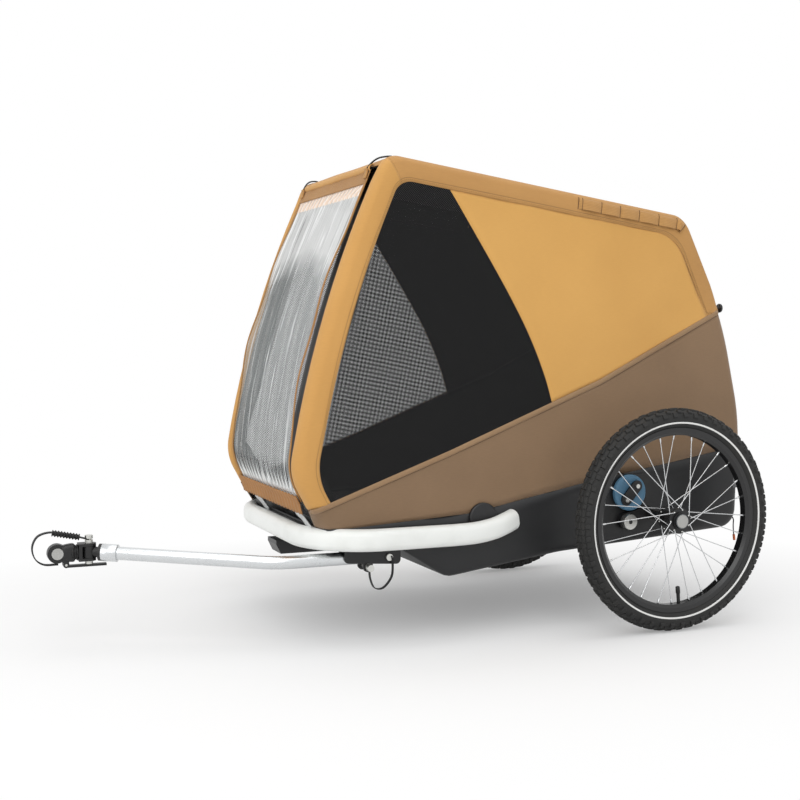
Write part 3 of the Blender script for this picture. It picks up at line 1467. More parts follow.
@dataclass
class FrontCover:
    """Lift-up front cover: clear pane in a cloth border, with its hooks and straps."""

    cabin: Cabin
    foot: float = 288.0
    top: float = 1030.0
    half: float = 226.0
    pane_foot: float = 309.0
    pane_top: float = 994.0
    border: float = 8.0
    pleat: float = 22.0
    bow: float = 8.0
    strap_places: tuple[float, ...] = (-126.0, 184.0)
    strap_route: tuple[Point, ...] = ((1, -6, 9), (4, 0, -2), (-3, 22, -18), (-12, 44, -37))
    hook_y: float = 214.0
    hook_below: float = 8.0
    tab_below: float = 26.0
    tab_route: tuple[Point, ...] = ((5, 0), (9, -4), (10, 3))
    hook_back: float = 26.0
    hook_lean: float = 28.0
    hook_r: float = 1.9
    hook_rise: tuple[Point, Point] = ((0, 0.4, 0.55, 0.75, 1), (8, 7, 6, 3.5, 1.5))
    flap_run: tuple[float, float] = (-38.0, 26.0)
    flap_depth: float = 10.0
    tab_size: tuple[float, float] = (15.0, 3.0)
    strap_size: tuple[float, float] = (26.0, 2.4)
    hem_run: tuple[float, float] = (-3.0, -9.0)
    roll_run: tuple[float, float] = (-12.0, 1.0)
    pane_step: float = 8.0
    # Pitch, sway, pitch of the sway and height of the gathers, and their fading from foot and top
    gather: tuple[float, ...] = (21, 1.9, 37, 2.2)
    gather_fade: tuple[Point, Point] = ((42, 14), (58, 26))
    # Height, pitch and drift of the long creases, and height, power and pitch of the wavy edges
    crease: tuple[float, float, float] = (1.5, 74, 170)
    wavy: tuple[float, float, float] = (4.0, 5, 240)
    # Place and reach of the bulge and of the hollow below it
    bowed: tuple[Point, Point] = ((400, 190), (66, 80))
    # Rest height of strip, roll, pleats and binding, then the heights and pitches of what stands on it
    hem_form: tuple[float, ...] = (2.4, 0.7, 13, 9, 31)
    roll_form: tuple[float, ...] = (1.2, 6.5, 0.6, 29)
    pleat_form: tuple[float, ...] = (1.2, 3.0, 6, 24)
    edge_form: tuple[float, ...] = (1.4, 0.9, 1.2)

    def build(self) -> None:
        """Make the cover's pieces."""
        self.pane([self.edge(side) for side in Side])
        self.hem()
        self.pleats()
        for side in Side:
            self.hook(side)
            self.lining(side)
        for number, y in enumerate(self.strap_places):
            self.strap(number, y)

    def grid(self, low: float, high: float, across: np.ndarray, rise: Rise, step: float) -> np.ndarray:
        """Points on the front of the cabin.

        Args:
            low: Height of the lower edge.
            high: Height of the upper edge.
            across: Places along Y.
            rise: Function of length along and place across that gives the height above the front.
            step: Length of a row.

        Returns:
            Points by row and column.
        """
        shell = self.cabin.shell
        start = shell.foot_at(low) if low < shell.front_bulge[1] - 40 else shell.front_at(low)
        line = shell.between(start, shell.front_at(high), step)
        lift = rise(lengths(line)[:, None], across[None]) + np.zeros((len(line), len(across)))
        return upright(line[:, None] - sideways(line)[:, None] * lift[..., None], across)

    def pane_rise(self, run: np.ndarray, y: np.ndarray) -> np.ndarray:
        """Height of the slack pane: gathers at both ends, long creases and wavy edges."""
        length = float(run.max())
        between = np.sin(run / length * math.pi)
        pitch, sway, sway_pitch, height = self.gather
        gather = np.sin(y * TURN / pitch + sway * np.sin(y / sway_pitch)) * height
        ends = sum(np.exp(-far / fade) * np.clip(far / rise, 0, 1)
                   for far, (fade, rise) in zip((run, length - run), self.gather_fade))
        height, pitch, drift = self.crease
        crease = height * np.sin(y * TURN / pitch + run / drift) * between
        height, power, pitch = self.wavy
        wavy = height * np.abs(y / self.half) ** power * np.sin(run * TURN / pitch + np.sign(y))
        bulge, hollow = (np.exp(-(((run - place) / reach) ** 2)) for place, reach in self.bowed)
        return gather * ends + crease + wavy * between + self.bow * (bulge - hollow)

    def hem_rise(self, run: np.ndarray, y: np.ndarray) -> np.ndarray:
        """Height of the strip along the top."""
        rest, height, across, along, broad = self.hem_form
        return rest + height * np.sin(y / across + run / along) * np.sin(y / broad)

    def roll_rise(self, run: np.ndarray, y: np.ndarray) -> np.ndarray:
        """Height of the roll over the strip's upper edge."""
        arch = np.sqrt(np.maximum(np.sin(run / run.max() * math.pi), 0))
        rest, height, wave, pitch = self.roll_form
        return rest + height * arch + wave * np.sin(y / pitch)

    def pleat_rise(self, run: np.ndarray, y: np.ndarray) -> np.ndarray:
        """Height of the pleats, which stand out at their lower edge."""
        rest, height, out, fade = self.pleat_form
        pleats = height * np.abs(np.sin(y * math.pi / self.pleat))
        return rest + pleats + out * np.clip(1 - run / fade, 0, 1)

    def edge_rise(self, run: np.ndarray, y: np.ndarray) -> np.ndarray:
        """Height of the rolled binding, which follows the pane."""
        rest, follow, height = self.edge_form
        rolled = height * np.sin((self.half - np.abs(y)) / self.border * math.pi)
        return rest + self.pane_rise(run, y) * follow + rolled

    def flap_rise(self, run: np.ndarray, y: np.ndarray) -> np.ndarray:
        """Height of the inner flaps, which lie behind the front."""
        return 0 * (run + y) - self.flap_depth

    def pane(self, edges: Sequence[bpy.types.Object]) -> None:
        """Clear pane, a single thin sheet, with its bound edges."""
        across = np.linspace(-self.half + self.border / 2, self.half - self.border / 2, 121)
        grid = self.grid(self.pane_foot, self.pane_top, across, self.pane_rise, self.pane_step)
        uv = grid_uv(grid)
        made = self.cabin.bench.drape("cover_pane", grid, "cover_pane", "cover", ["front_pane"], uv)
        tuple(flat_size(uv)[::-1])

    def hem(self) -> None:
        """Cloth along the top of the cover: a flat strip, and a roll over its upper edge."""
        across = np.linspace(-self.half, self.half, 61)
        low, high = self.pane_top + self.hem_run[0], self.top + self.hem_run[1]
        strip = self.grid(low, high, across, self.hem_rise, 3)
        self.cabin.sheet("cover_hem", strip, "hem_tan", "front_cover", "hem_tan", "cover")
        low, high = (self.top + step for step in self.roll_run)
        roll = self.grid(low, high, across, self.roll_rise, 1.2)
        self.cabin.sheet("cover_roll", roll, "roll_tan", "roof_panel", "roll_tan")

    def pleats(self) -> None:
        """Pleated cloth along the foot of the cover."""
        across = np.linspace(-self.half, self.half, 181)
        grid = self.grid(self.foot, self.pane_foot + 4, across, self.pleat_rise, 6)
        self.cabin.sheet("cover_pleats", grid, "pleat_tan", "front_cover", "pleat_tan", "cover")

    def edge(self, side: Side) -> bpy.types.Object:
        """Narrow cloth binding down one side of the cover."""
        across = side.value * (self.half - np.array([self.border, 6, 3, 0]))
        grid = self.grid(self.pane_foot, self.pane_top, across, self.edge_rise, self.pane_step)
        made = self.cabin.bench.drape(f"cover_edge_{side.word}", grid, "hem_tan", "cover", ["front_cover"])
        self.cabin.bench.wall(made, self.cabin.cloth)
        return made

    def lining(self, side: Side) -> None:
        """Dark inner flap of the front sleeve, seen in the gap beside the cover."""
        within, beyond = self.flap_run
        across = side.value * np.linspace(self.half + within, self.half + beyond, 6)
        grid = self.grid(self.foot - 10, self.top, across, self.flap_rise, 10)
        bench = self.cabin.bench
        bench.wall(bench.drape(f"sleeve_flap_{side.word}", grid, "tub_black"), self.cabin.cloth)

    def hook(self, side: Side) -> None:
        """Bent wire hook from a webbing tab on the cover's top corner over to the roof."""
        bench, shell = self.cabin.bench, self.cabin.shell
        x, z = shell.front_at(self.top - self.hook_below)
        back = (shell.front_top[0] - self.hook_back, shell.front_top[1] - self.hook_back * shell.roof_slope)
        path = shell.between((x, z), back, 3)
        shares = np.linspace(0, 1, len(path))
        path = path - sideways(path) * np.interp(shares, *self.hook_rise)[:, None]
        line = upright(path, side.value * (self.hook_y + self.hook_lean * shares))
        wire = tube(line, [self.hook_r] * len(line), 8)
        bench.solid(f"cover_hook_{side.word}", wire, "wire_black", fold=Fold.COLLAPSES)
        spots = (shell.front_at(self.top - self.tab_below), (x, z), (x, z))
        y = side.value * self.hook_y
        tab = smooth_line([(a + dx, y, b + dz) for (a, b), (dx, dz) in zip(spots, self.tab_route)], 6)
        webbing = ribbon(tab, (0, 1, 0), *self.tab_size)
        bench.solid(f"hook_tab_{side.word}", webbing, "webbing_tan", fold=Fold.COLLAPSES)

    def strap(self, number: int, y: float) -> None:
        """Grey strap from the cover's foot to the bumper."""
        x, z = self.cabin.shell.foot_at(self.foot)
        line = smooth_line([(x + dx, y + dy, z + dz) for dx, dy, dz in self.strap_route], 8)
        form = ribbon(line, (0, 1, 0), *self.strap_size)
        self.cabin.bench.solid(f"cover_strap_{number}", form, "webbing_grey")


# Wheels

@dataclass
class Wheel:
    """One wheel: knobbly tyre with its bright ring, nipples, spoke heads and valve cap."""

    bench: Bench
    side: Side
    track: float = 800.0
    axle_z: float = 253.0
    section: float = 22.4
    section_r: float = 227.0
    bead_r: float = 205.0
    wall: float = 3.4
    spans: int = 128
    knobs: int = 54
    ring_r: float = 220.5
    spokes: int = 28
    rim_hole_r: float = 191.7
    rim_offset: float = 3.5
    hub_hole_r: float = 25.0
    spoke_reach: Point = (22.5, 3.9, 2.2)
    nipple: tuple[Point, ...] = ((-6, 1.5), (-5, 2.0), (3, 2.3), (5, 2.3))
    nipple_in: float = 5.0
    head: tuple[Point, ...] = ((-0.5, 2.2), (0.4, 2.2), (1.2, 1.5))
    stem_angle: float = -95.0
    cap: tuple[Point, ...] = ((170.0, 4.6), (169.5, 5.2), (156.0, 5.0), (154.5, 4.2), (153.6, 2.4))
    # Lean, stagger, size and slant of each row of knobs
    rows: tuple[tuple[float, float, Corner, float], ...] = (
        (10.0, 0.0, (15.0, 9.5, 4.2), 8.0), (-10.0, 0.5, (15.0, 9.5, 4.2), -8.0),
        (38.0, 0.5, (11.0, 9.0, 4.0), -14.0), (-38.0, 0.0, (11.0, 9.0, 4.0), 14.0),
        (62.0, 0.0, (11.5, 12.0, 4.2), 0.0), (-62.0, 0.5, (11.5, 12.0, 4.2), 0.0),
    )
    sunk: float = 0.8
    knob_taper: tuple[float, float] = (0.84, 1.08)
    knob_bevel: float = 0.7
    ring_half: float = 2.0
    ring_lift: tuple[float, float] = (0.35, -0.4)

    @property
    def body(self) -> str:
        """Body that turns with the wheel."""
        return f"{self.side.word}_wheel"

    @property
    def centre(self) -> Point:
        """Middle of the wheel."""
        return 0.0, self.side.value * self.track / 2, self.axle_z

    def build(self) -> None:
        """Make the wheel's pieces."""
        self.tyre()
        self.tread()
        self.bright_ring()
        self.spoke_ends()
        self.valve_cap()

    def on_section(self, angle: float, out: float = 0.0) -> tuple[float, float]:
        """Radius and width of a point of the tyre's section, at an angle from the crown."""
        reach = self.section + out
        return self.section_r + reach * math.cos(angle), reach * math.sin(angle)

    def at(self, radius: float, angle: float, width: float) -> Vector:
        """Point of the wheel."""
        x, y, z = self.centre
        return Vector((x + radius * math.cos(angle), y + width, z + radius * math.sin(angle)))

    def tyre(self) -> None:
        """Carcass of the tyre, open towards the rim."""
        lip = math.acos((self.bead_r - self.section_r) / self.section)
        outside = [self.on_section(a) for a in steps(-lip, lip, 30)]
        inside = [self.on_section(a, -self.wall) for a in steps(lip, -lip, 24)]
        form = lathe(outside + inside, self.centre, self.spans)
        self.bench.solid(f"tyre_{self.side.word}", form, "tyre_rubber", self.body, [f"{self.side.word}_tyre"])

    def knob(self, length: float, width: float, height: float) -> bpy.types.Mesh:
        """Tapered block with bevelled edges, its foot at the origin."""
        mesh = bpy.data.meshes.new("knob")
        form = bmesh.new()
        bmesh.ops.create_cube(form, size=1.0)
        for vert in form.verts:
            x, y, z = vert.co
            taper = self.knob_taper[z <= 0]
            vert.co = Vector((x * length * taper, y * width * taper, (z + 0.5) * height)) * MM
        edges = [e for e in form.edges if all(v.co.z > 0.5 * height * MM for v in e.verts)]
        bmesh.ops.bevel(form, geom=edges, offset=self.knob_bevel * MM, segments=1, affect="EDGES")
        form.to_mesh(mesh)
        form.free()
        return mesh

    def tread(self) -> None:
        """Six rows of knobs, set with a stagger."""
        for number, (lean, shift, size, slant) in enumerate(self.rows):
            radius, width = self.on_section(math.radians(lean), -self.sunk)
            tilt = Matrix.Rotation(-math.radians(lean), 3, "X")
            marks = []
            for k in range(self.knobs):
                angle = TURN * (k + shift) / self.knobs
                pose = Matrix.Rotation(-angle, 3, "Y") @ Matrix.Rotation(math.pi / 2, 3, "Y") @ tilt
                pose = pose @ Matrix.Rotation(math.radians(slant), 3, "Z")
                marks.append((self.at(radius, angle, width), pose))
            name = f"tread_{self.side.word}_{number}"
            mesh = self.bench.copy_on(name, self.knob(*size), marks, "tyre_rubber")
            self.bench.piece(name, mesh, "tyre_rubber", self.body)

    def bright_ring(self) -> None:
        """Pale reflective line on both walls of the tyre."""
        middle = math.acos((self.ring_r - self.section_r) / self.section)
        spread = self.ring_half / self.section
        over, under = self.ring_lift
        for hand in (1, -1):
            outside = [self.on_section(hand * (middle + d), over) for d in steps(-spread, spread, 4)]
            inside = [self.on_section(hand * (middle + d), under) for d in steps(spread, -spread, 4)]
            name = f"tyre_ring_{self.side.word}_{'out' if hand == self.side.value else 'in'}"
            self.bench.solid(name, lathe(outside + inside, self.centre, self.spans), "reflective", self.body)

    def spoke_ends(self) -> None:
        """Nipples at the rim and heads at the hub, one of each to a spoke."""
        flange_y, cross, lift = self.spoke_reach
        nipples, heads = [], []
        for k in range(self.spokes):
            flange = 1 if k % 2 == 0 else -1
            lace = 1 if (k // 2) % 2 == 0 else -1
            at_rim = TURN * k / self.spokes
            at_hub = at_rim + lace * 4 * TURN / self.spokes
            rim = self.at(self.rim_hole_r, at_rim, flange * self.rim_offset)
            hub = self.at(self.hub_hole_r, at_hub, flange * flange_y + lace * cross)
            along = (rim - hub).normalized()
            nipples.append((rim - along * self.nipple_in, along.to_track_quat("Z", "Y").to_matrix()))
            out = Vector((0, flange if lace > 0 else -flange, 0))
            head = self.at(self.hub_hole_r, at_hub, flange * flange_y + out.y * lift)
            heads.append((head, out.to_track_quat("Z", "X").to_matrix()))
        for word, marks, profile, finish in (
            ("nipples", nipples, self.nipple, "spoke_steel"), ("spoke_heads", heads, self.head, "bolt_zinc"),
        ):
            name = f"{word}_{self.side.word}"
            mesh = self.bench.copy_on(name, self.turned(word, profile), marks, finish)
            self.bench.piece(name, mesh, finish, self.body)

    def turned(self, name: str, profile: Sequence[Point], sides: int = 8) -> bpy.types.Mesh:
        """Small turned shape about Z, in metres, from heights and radii."""
        spots = [(r * MM * math.cos(TURN * k / sides), r * MM * math.sin(TURN * k / sides), z * MM)
                 for z, r in profile for k in range(sides)]
        faces = quads(len(profile), sides, tube=True)
        faces += [tuple(reversed(range(sides))), tuple((len(profile) - 1) * sides + k for k in range(sides))]
        mesh = bpy.data.meshes.new(name)
        mesh.from_pydata(spots, [], faces)
        mesh.polygons.foreach_set("use_smooth", [True] * len(mesh.polygons))
        return mesh

    def valve_cap(self) -> None:
        """Dust cap on the valve stem."""
        line = np.array([self.at(radius, math.radians(self.stem_angle), 0) for radius, _ in self.cap])
        form = tube(line, [r for _, r in self.cap], 14)
        self.bench.solid(f"valve_cap_{self.side.word}", form, "boot_rubber", self.body)


# Small soft parts

@dataclass
class Rigging:
    """Rubber springs, straps, boots, knobs and the pull cord."""

    bench: Bench
    spring_spot: Point = (53.0, 300.0, 305.0)
    spring_r: float = 42.0
    spring_half: float = 7.4
    spring_edge: float = 3.0
    spring_dish: tuple[float, float, float] = (30.0, 27.0, 1.5)
    spring_bore: float = 6.0
    spring_bevel: float = 1.2
    spring_bend: tuple[Point, Point] = ((60.0, 312.0), (36.0, 264.0))
    tether_spot: Point = (688.0, 268.5, 169.2)
    tether_route: tuple[Point, ...] = (
        (0, 0), (-3, -25), (-13, -45), (-33, -46), (-52, -24), (-55, 4), (-52, 22),
    )
    tether_size: tuple[float, float] = (9.0, 2.0)
    strap_y: float = 68.0
    strap_z: float = 234.8
    strap_route: tuple[Point, ...] = (
        (1246, 0), (1254, 1.5), (1280, 9), (1306, 15.5), (1330, 18), (1352, 10), (1362, -12), (1356, -36),
        (1338, -49), (1310, -50),
    )
    strap_size: tuple[float, float] = (15.0, 2.4)
    sleeve_run: tuple[Point, ...] = ((1266.0, 4.9), (1321.0, 16.5))
    sleeve_r: float = 6.0
    rib: float = 1.3
    ribs: int = 9
    cord_route: tuple[Point, ...] = ((-262.0, 236.0), (-284.0, 224.0), (-281.0, 201.0), (-284.0, 180.0))
    cord_y: float = 252.0
    cord_d: float = 3.0
    cord_length: float = 66.0
    knob_y: float = 250.0
    knob_z: float = 735.0
    knob_back: float = 13.0
    knob_neck: float = 4.5
    knob_profile: tuple[Point, ...] = ((8, 4.5), (7.5, 9.5), (5.5, 11), (2, 10.6), (0.4, 8), (0, 3))
    boot_rib: float = 1.1

    def build(self) -> None:
        """Make the pieces."""
        self.cord()
        for side in Side:
            self.spring(side)
            self.knob(side)
        self.tether()
        self.safety_strap()
        self.strap_sleeve()
        self.boot()

    def cord(self) -> None:
        """Pull cord at the rear corner, on one smooth line, with its moulded tip."""
        curve = bpy.data.curves.new("pull_cord", "CURVE")
        curve.dimensions = "3D"
        curve.bevel_depth = self.cord_d / 2 * MM
        curve.bevel_resolution = 3
        curve.resolution_u = 16
        curve.use_fill_caps = True
        spline = curve.splines.new("NURBS")
        spots = [self.bench.place((x, self.cord_y, z)) for x, z in self.cord_route]
        spline.points.add(len(spots) - 1)
        for point, spot in zip(spline.points, spots):
            point.co = (*spot, 1.0)
        spline.order_u = 3
        spline.use_endpoint_u = True
        curve.materials.append(self.bench.finish["cord_black"])
        made = bpy.data.objects.new("pull_cord_line", curve)
        bpy.context.collection.objects.link(made)
        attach(made, "root")
        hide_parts("pull_cord")

    def spring(self, side: Side) -> None:
        """Rubber spring: a thick disc with soft edges and a dished face."""
        x, y, z = self.spring_spot
        half, edge, bore = self.spring_half, self.spring_edge, self.spring_bore
        rim, floor, dish = self.spring_dish
        profile = [(bore, -half), (self.spring_r - edge, -half), (self.spring_r, edge - half),
                   (self.spring_r, half - edge), (self.spring_r - edge, half), (rim, half),
                   (floor, half - dish), (bore, half - dish)]
        form = lathe([(r, w * side.value) for r, w in profile], (x, side.value * y, z), 64)
        name = f"rubber_spring_{side.word}"
        made = self.bench.solid(name, form, "elastomer_blue", None, [f"{side.word}_elastomer"])
        start, end = (tuple(self.bench.place((a, side.value * y, b))) for a, b in self.spring_bend)
        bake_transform(made)
        soft = made.modifiers.new("soft_edges", "BEVEL")
        soft.width = self.spring_bevel * MM
        soft.segments = 2

    def knob(self, side: Side) -> None:
        """Button on the rear edge, for a rain cover."""
        low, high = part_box("cover_knobs")
        tip = (low[0] - self.bench.axle_x) / MM - self.knob_back
        foot = (high[0] - self.bench.axle_x) / MM
        reach = [(foot, self.knob_neck), *((tip + d, r) for d, r in self.knob_profile)]
        line = np.array([(x, side.value * self.knob_y, self.knob_z) for x, _ in reach])
        form = tube(line, [r for _, r in reach], 24)
        self.bench.solid(f"rear_knob_{side.word}", form, "cap_black", "root", ["cover_knobs"], Fold.COLLAPSES)

    def tether(self) -> None:
        """Webbing loop from the pull pin to the receiver."""
        x, y, z = self.tether_spot
        line = smooth_line([(x + dx, y, z + dz) for dx, dz in self.tether_route], 10)
        form = ribbon(line, (0, 1, 0), *self.tether_size)
        made = self.bench.solid("tether_webbing", form, "webbing_black", None, ["pin_tether"])
        tuple(self.bench.place((x, y, z)))
        tuple(self.bench.place((x + self.tether_route[-1][0], y, z)))
        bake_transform(made)

    def safety_strap(self) -> None:
        """Safety strap from the hitch bolt forward, in a loop that comes back under the eye."""
        line = smooth_line([(x, self.strap_y, self.strap_z + dz) for x, dz in self.strap_route], 8)
        form = ribbon(line, (0, 1, 0), *self.strap_size)
        self.bench.solid("safety_strap_webbing", form, "webbing_black", "hitch", ["safety_strap"])

    def strap_sleeve(self) -> None:
        """Ribbed rubber sleeve over the strap."""
        start, end = (np.array((x, self.strap_y, self.strap_z + dz)) for x, dz in self.sleeve_run)
        shares = np.linspace(0, 1, self.ribs * 8 + 1)
        radii = self.sleeve_r + self.rib * np.cos(shares * self.ribs * TURN)
        form = tube(start + shares[:, None] * (end - start), radii, 20)
        self.bench.solid("ribbed_sleeve", form, "boot_rubber", "hitch", ["strap_sleeve"])

    def boot(self) -> None:
        """Ribbed rubber boot between the hitch fork and its head."""
        low, high = (Vector(corner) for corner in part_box("hitch_boot"))
        middle, reach = (low + high) / 2, (high - low) / 2
        shares = np.linspace(-1, 1, 41)
        x = (middle.x - self.bench.axle_x + reach.x * shares) / MM
        line = np.stack([x, np.full(41, middle.y / MM), np.full(41, middle.z / MM)], 1)
        radii = reach.z / MM - self.boot_rib + self.boot_rib * np.cos(shares * 3 * math.pi)
        self.bench.solid("hitch_bellows", tube(line, radii, 32), "boot_rubber", "hitch", ["hitch_boot"])


# Rigid parts

@dataclass
class Hardware:
    """Rigid parts: bumper, trim of pivots and hitch, and the finishes of what shows as it is."""

    bench: Bench
    wheel_parts: tuple[tuple[str, str], ...] = (
        ("inner_tube", "tube_rubber"), ("rim", "rim_black"), ("spokes", "spoke_steel"),
        ("hub_shell", "hub_grey"), ("hub_bearings", "bearing_steel"), ("axle", "axle_steel"),
        ("hub_button", "button_grey"), ("swing_arm", "arm_black"),
    )
    parts: tuple[tuple[str, str], ...] = (
        ("suspension_brackets", "arm_black"), ("pivot_bolts", "bolt_zinc"), ("elastomer_clamps", "arm_black"),
        ("clamp_bolts", "bolt_zinc"), ("chassis_frame", "frame_alloy"), ("floor_board", "floor_board"),
        ("hinge_knuckles", "hinge_black"), ("hinge_pins", "bolt_zinc"), ("front_hoop", "hinge_black"),
        ("rear_hoop", "frame_alloy"), ("bumper_standoffs", "frame_alloy"),
        ("side_caps", "cap_black"), ("stroller_socket", "cap_black"), ("drawbar", "drawbar_silver"),
        ("receiver", "receiver_black"), ("receiver_bolt", "bolt_zinc"), ("locking_pin", "bolt_zinc"),
        ("hitch_neck", "receiver_black"), ("hitch_head", "receiver_black"), ("hitch_pins", "bolt_zinc"),
        ("hitch_button", "button_grey"), ("hitch_lever", "receiver_black"), ("cord_tip", "tip_orange"),
    )

    bumper_front: float = 820.0
    bumper_side: float = 308.0
    bumper_z: float = 234.0
    bumper_turn: float = 150.0
    bumper_bevel: float = 2.0
    bumper_size: tuple[float, float] = (36.0, 48.0)
    bumper_straight: float = 50.0
    bumper_runs: tuple[int, int, int] = (16, 24, 16)
    bumper_end: tuple[Point, ...] = ((347, 282, 257), (372, 295, 251), (408, 304, 242), (452, 308, 236))
    pivot_spot: Point = (60.0, 318.6, 239.0)
    socket_r: float = 5.2
    socket_depth: float = 1.2
    shell_run: tuple[Point, ...] = ((1303, 15.5), (1296, 17.5), (1288, 18.8), (1280, 19.4), (1277, 18.5))
    shell_half: float = 12.5
    shell_square: tuple[float, float] = (0.45, 0.6)
    drawbar_bend: Point = (888.0, 245.0, 188.0)
    drawbar_end: Point = (1246.0, 68.0, 208.0)
    sleeve_run: tuple[Point, ...] = ((62.4, 17.4), (61.6, 18.4), (29.2, 18.4), (28.4, 17.4))

    def build(self) -> None:
        """Make the trim of the rigid parts and dress the rest."""
        self.bumper()
        for side in Side:
            self.pivot_socket(side)
        self.hitch_shell()
        self.neck_sleeve()
        self.dress()

    def pivot_socket(self, side: Side) -> None:
        """Six-sided socket in the head of a pivot bolt."""
        x, y, z = self.pivot_spot
        line = np.array([(x, side.value * (y - self.socket_depth), z), (x, side.value * y, z)])
        form = tube(line, (self.socket_r, self.socket_r), 6)
        self.bench.solid(f"pivot_socket_{side.word}", form, "hinge_black")

    def neck_sleeve(self) -> None:
        """Silver sleeve round the drawbar's end."""
        end = np.array(self.drawbar_end)
        heading = end - np.array(self.drawbar_bend)
        heading /= np.linalg.norm(heading)
        line = np.array([end - heading * back for back, _ in self.sleeve_run])
        self.bench.solid("neck_sleeve", tube(line, [r for _, r in self.sleeve_run], 40), "drawbar_silver")

    def bumper(self) -> None:
        """White bumper: an upright oval tube round the front, its ends swept up to the tub."""
        front, side, turn = self.bumper_front, self.bumper_side, self.bumper_turn
        start = self.bumper_end[-1][0] + self.bumper_straight
        corners = [(start, side, 0), (front, side, turn), (front, -side, turn), (start, -side, 0)]
        plan = rounded(corners, self.bumper_runs, 24)
        middle = np.column_stack([plan, np.full(len(plan), self.bumper_z)])
        end = smooth_line([*self.bumper_end, (start, side, self.bumper_z)], 8)[:-1]
        line = np.vstack([end, middle, (end * (1, -1, 1))[::-1]])
        width, height = self.bumper_size
        angles = np.linspace(0, TURN, 32, endpoint=False)
        tall = np.sin(angles) * width / 2 + np.sign(np.round(np.sin(angles), 6)) * (height - width) / 2
        section = np.stack([tall, np.cos(angles) * width / 2], 1)
        form = sweep(line, np.broadcast_to(section, (len(line), *section.shape)), (0, 0, 1))
        made = self.bench.solid("bumper_tube", form, "bumper_white", "root", ["bumper"])
        soft = made.modifiers.new("soft_ends", "BEVEL")
        soft.width = self.bumper_bevel * MM
        soft.segments = 2
        soft.limit_method = "ANGLE"

    def hitch_shell(self) -> None:
        """Moulded shell between the hitch eye and its boot."""
        line = np.array([(x, *self.drawbar_end[1:]) for x, _ in self.shell_run])
        angles = np.linspace(0, TURN, 36, endpoint=False)
        wide = np.sign(np.cos(angles)) * np.abs(np.cos(angles)) ** self.shell_square[0] * self.shell_half
        tall = np.sign(np.sin(angles)) * np.abs(np.sin(angles)) ** self.shell_square[1]
        sections = np.array([np.stack([wide, tall * half], 1) for _, half in self.shell_run])
        self.bench.solid("hitch_shell", sweep(line, sections, (0, 1, 0)), "receiver_black", "hitch")

    def dress(self) -> None:
        """Give each rigid part its finish."""
        pairs = [(f"{side.word}_{part}", finish) for side in Side for part, finish in self.wheel_parts]
        for node, finish in (*pairs, *self.parts):
            part = self.bench.frame["nodes"][node]
            if not part.material_slots:
                part.data.materials.append(self.bench.finish[finish])
            for holder in part.material_slots:
                holder.material = self.bench.finish[finish]
            LOG.info("%s dressed in %s", node, finish)


# Studio

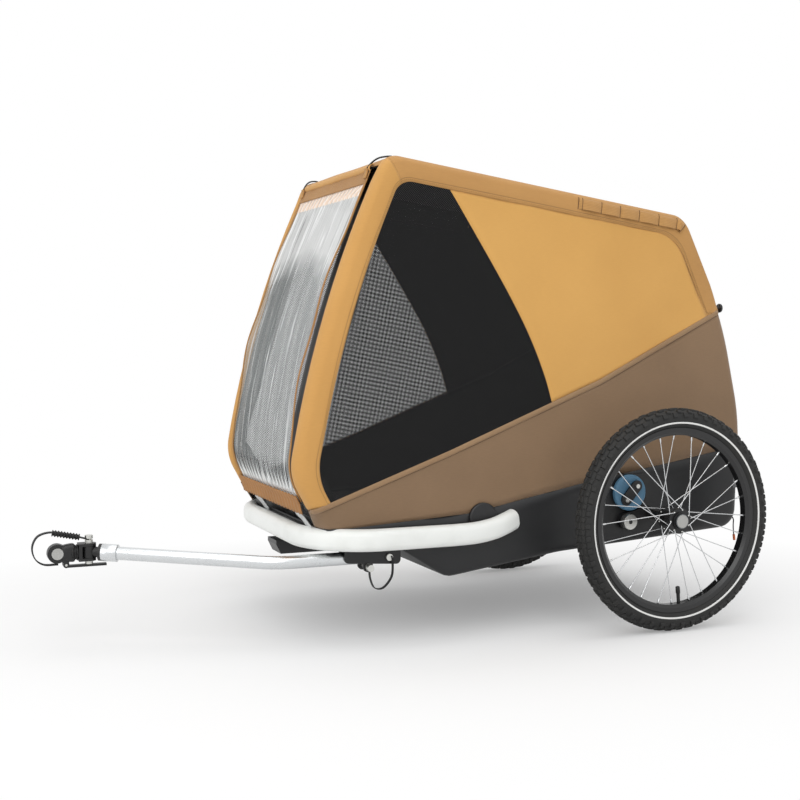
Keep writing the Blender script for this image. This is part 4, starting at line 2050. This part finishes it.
@dataclass(frozen=True)
class Studio:
    """Pale floor, soft light, and the camera at the photograph's view."""

    spot: Point = (1652.6, 2711.1, 665.9)
    yaw: float = 22.975
    pitch: float = 2.981
    roll: float = -0.185
    lens: float = 55.55
    sensor: float = 36.0
    floor_size: float = 30.0
    floor_z: float = -0.0005
    ambient: float = 0.62
    floor_glow: float = 0.22
    fade_x: float = 0.75
    fade_y: float = 0.5
    fade_rate: float = 0.75
    floor_colour: str = "#F4F4F4"
    floor_rough: float = 0.9
    aim: Point = (0.0, 0.0, 0.5)
    # Name, place, size and power of each lamp
    lamps: tuple[tuple[str, Point, float, float], ...] = (
        ("key", (1.6, 3.2, 3.0), 3.0, 62.0),
        ("front_fill", (4.0, 0.6, 1.6), 3.0, 34.0),
        ("top", (-0.4, 0.4, 4.2), 3.5, 46.0),
    )

    def build(self, bench: Bench) -> None:
        """Set up the studio around the bench."""
        self.camera(bench)
        self.floor()
        self.world()
        for name, spot, size, power in self.lamps:
            self.lamp(name, Vector(spot), size, power)

    def camera(self, bench: Bench) -> None:
        """Camera with the photograph's place, direction and lens."""
        yaw, pitch, roll = (math.radians(a) for a in (self.yaw, self.pitch, self.roll))
        look = Vector((-math.sin(yaw) * math.cos(pitch), -math.cos(yaw) * math.cos(pitch), -math.sin(pitch)))
        flat = Vector((-math.cos(yaw), math.sin(yaw), 0))
        down = look.cross(flat)
        right = flat * math.cos(roll) + down * math.sin(roll)
        fall = down * math.cos(roll) - flat * math.sin(roll)
        data = bpy.data.cameras.new("photo_view")
        data.lens = self.lens
        data.sensor_width = self.sensor
        made = bpy.data.objects.new("photo_view", data)
        pose = Matrix((right, -fall, -look)).transposed().to_4x4()
        pose.translation = bench.place(self.spot)
        made.matrix_world = pose
        bpy.context.collection.objects.link(made)
        bpy.context.scene.camera = made

    def floor(self) -> None:
        """White floor that keeps the shadow and meets a white background."""
        half, z = self.floor_size / 2, self.floor_z
        mesh = bpy.data.meshes.new("floor")
        mesh.from_pydata([(-half, -half, z), (half, -half, z), (half, half, z), (-half, half, z)], [],
                         [(0, 1, 2, 3)])
        made = bpy.data.objects.new("floor", mesh)
        bpy.context.collection.objects.link(made)
        shader = Shader("floor")
        seen = shader.node("LightPath")
        eye = [Value(shader, seen.outputs[f"Is {word} Ray"]) for word in ("Camera", "Glossy", "Transmission")]
        split = shader.node("SeparateXYZ", None, {0: shader.place((1 / self.fade_x, 1 / self.fade_y, 0))})
        x, y = (Value(shader, split.outputs[k]) for k in (0, 1))
        far = shader.math("SQRT", x * x + y * y)
        white = ((far - 1.0) * self.fade_rate).clamped()
        share = (eye[0] + eye[1] + eye[2]).clamped() * (self.floor_glow + white * (1 - self.floor_glow))
        glow = shader.node("Emission", None, {"Color": (1, 1, 1, 1), "Strength": 1.0})
        shader.done(Base_Color=srgb(self.floor_colour), Roughness=self.floor_rough)
        blend = shader.node("MixShader", None, {0: share, 1: shader.surface.outputs[0], 2: glow.outputs[0]})
        shader.feed(shader.output.inputs["Surface"], blend.outputs[0])
        mesh.materials.append(shader.material)

    def world(self) -> None:
        """Soft light all round, white where the camera or a reflection sees it."""
        world = bpy.data.worlds.new("studio")
        world.use_nodes = True
        sky = Tree(world.node_tree)
        seen = sky.node("LightPath").outputs
        total = seen["Is Camera Ray"]
        for word in ("Glossy", "Transmission"):
            sockets = {0: total, 1: seen[f"Is {word} Ray"]}
            total = sky.node("Math", {"operation": "MAXIMUM"}, sockets).outputs[0]
        soft, white = (
            sky.node("Background", None, {"Color": (1, 1, 1, 1), "Strength": strength}).outputs[0]
            for strength in (self.ambient, 1.0)
        )
        blend = sky.node("MixShader", None, {0: total, 1: soft, 2: white})
        sky.node("OutputWorld", None, {"Surface": blend.outputs[0]})
        bpy.context.scene.world = world

    def lamp(self, name: str, spot: Vector, size: float, power: float) -> None:
        """Large square lamp that looks at the middle of the trailer."""
        data = bpy.data.lights.new(name, "AREA")
        data.size = size
        data.energy = power
        made = bpy.data.objects.new(name, data)
        made.location = spot
        made.rotation_euler = (Vector(self.aim) - spot).to_track_quat("-Z", "Y").to_euler()
        bpy.context.collection.objects.link(made)


def main() -> None:
    """Load the frame, build every sub-assembly around it and note both sizes."""
    logging.basicConfig(level=logging.INFO, format="%(name)s: %(message)s")
    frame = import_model()
    bench = Bench(frame)
    Studio().build(bench)
    Rigging(bench).build()
    cabin = Cabin(bench)
    cabin.build()
    FrontCover(cabin).build()
    for side in Side:
        Wheel(bench, side).build()
    Hardware(bench).build()
    scene = bpy.context.scene
    scene.view_settings.view_transform = "Standard"
    bpy.context.view_layer.update()


if __name__ == "__main__":
    main()
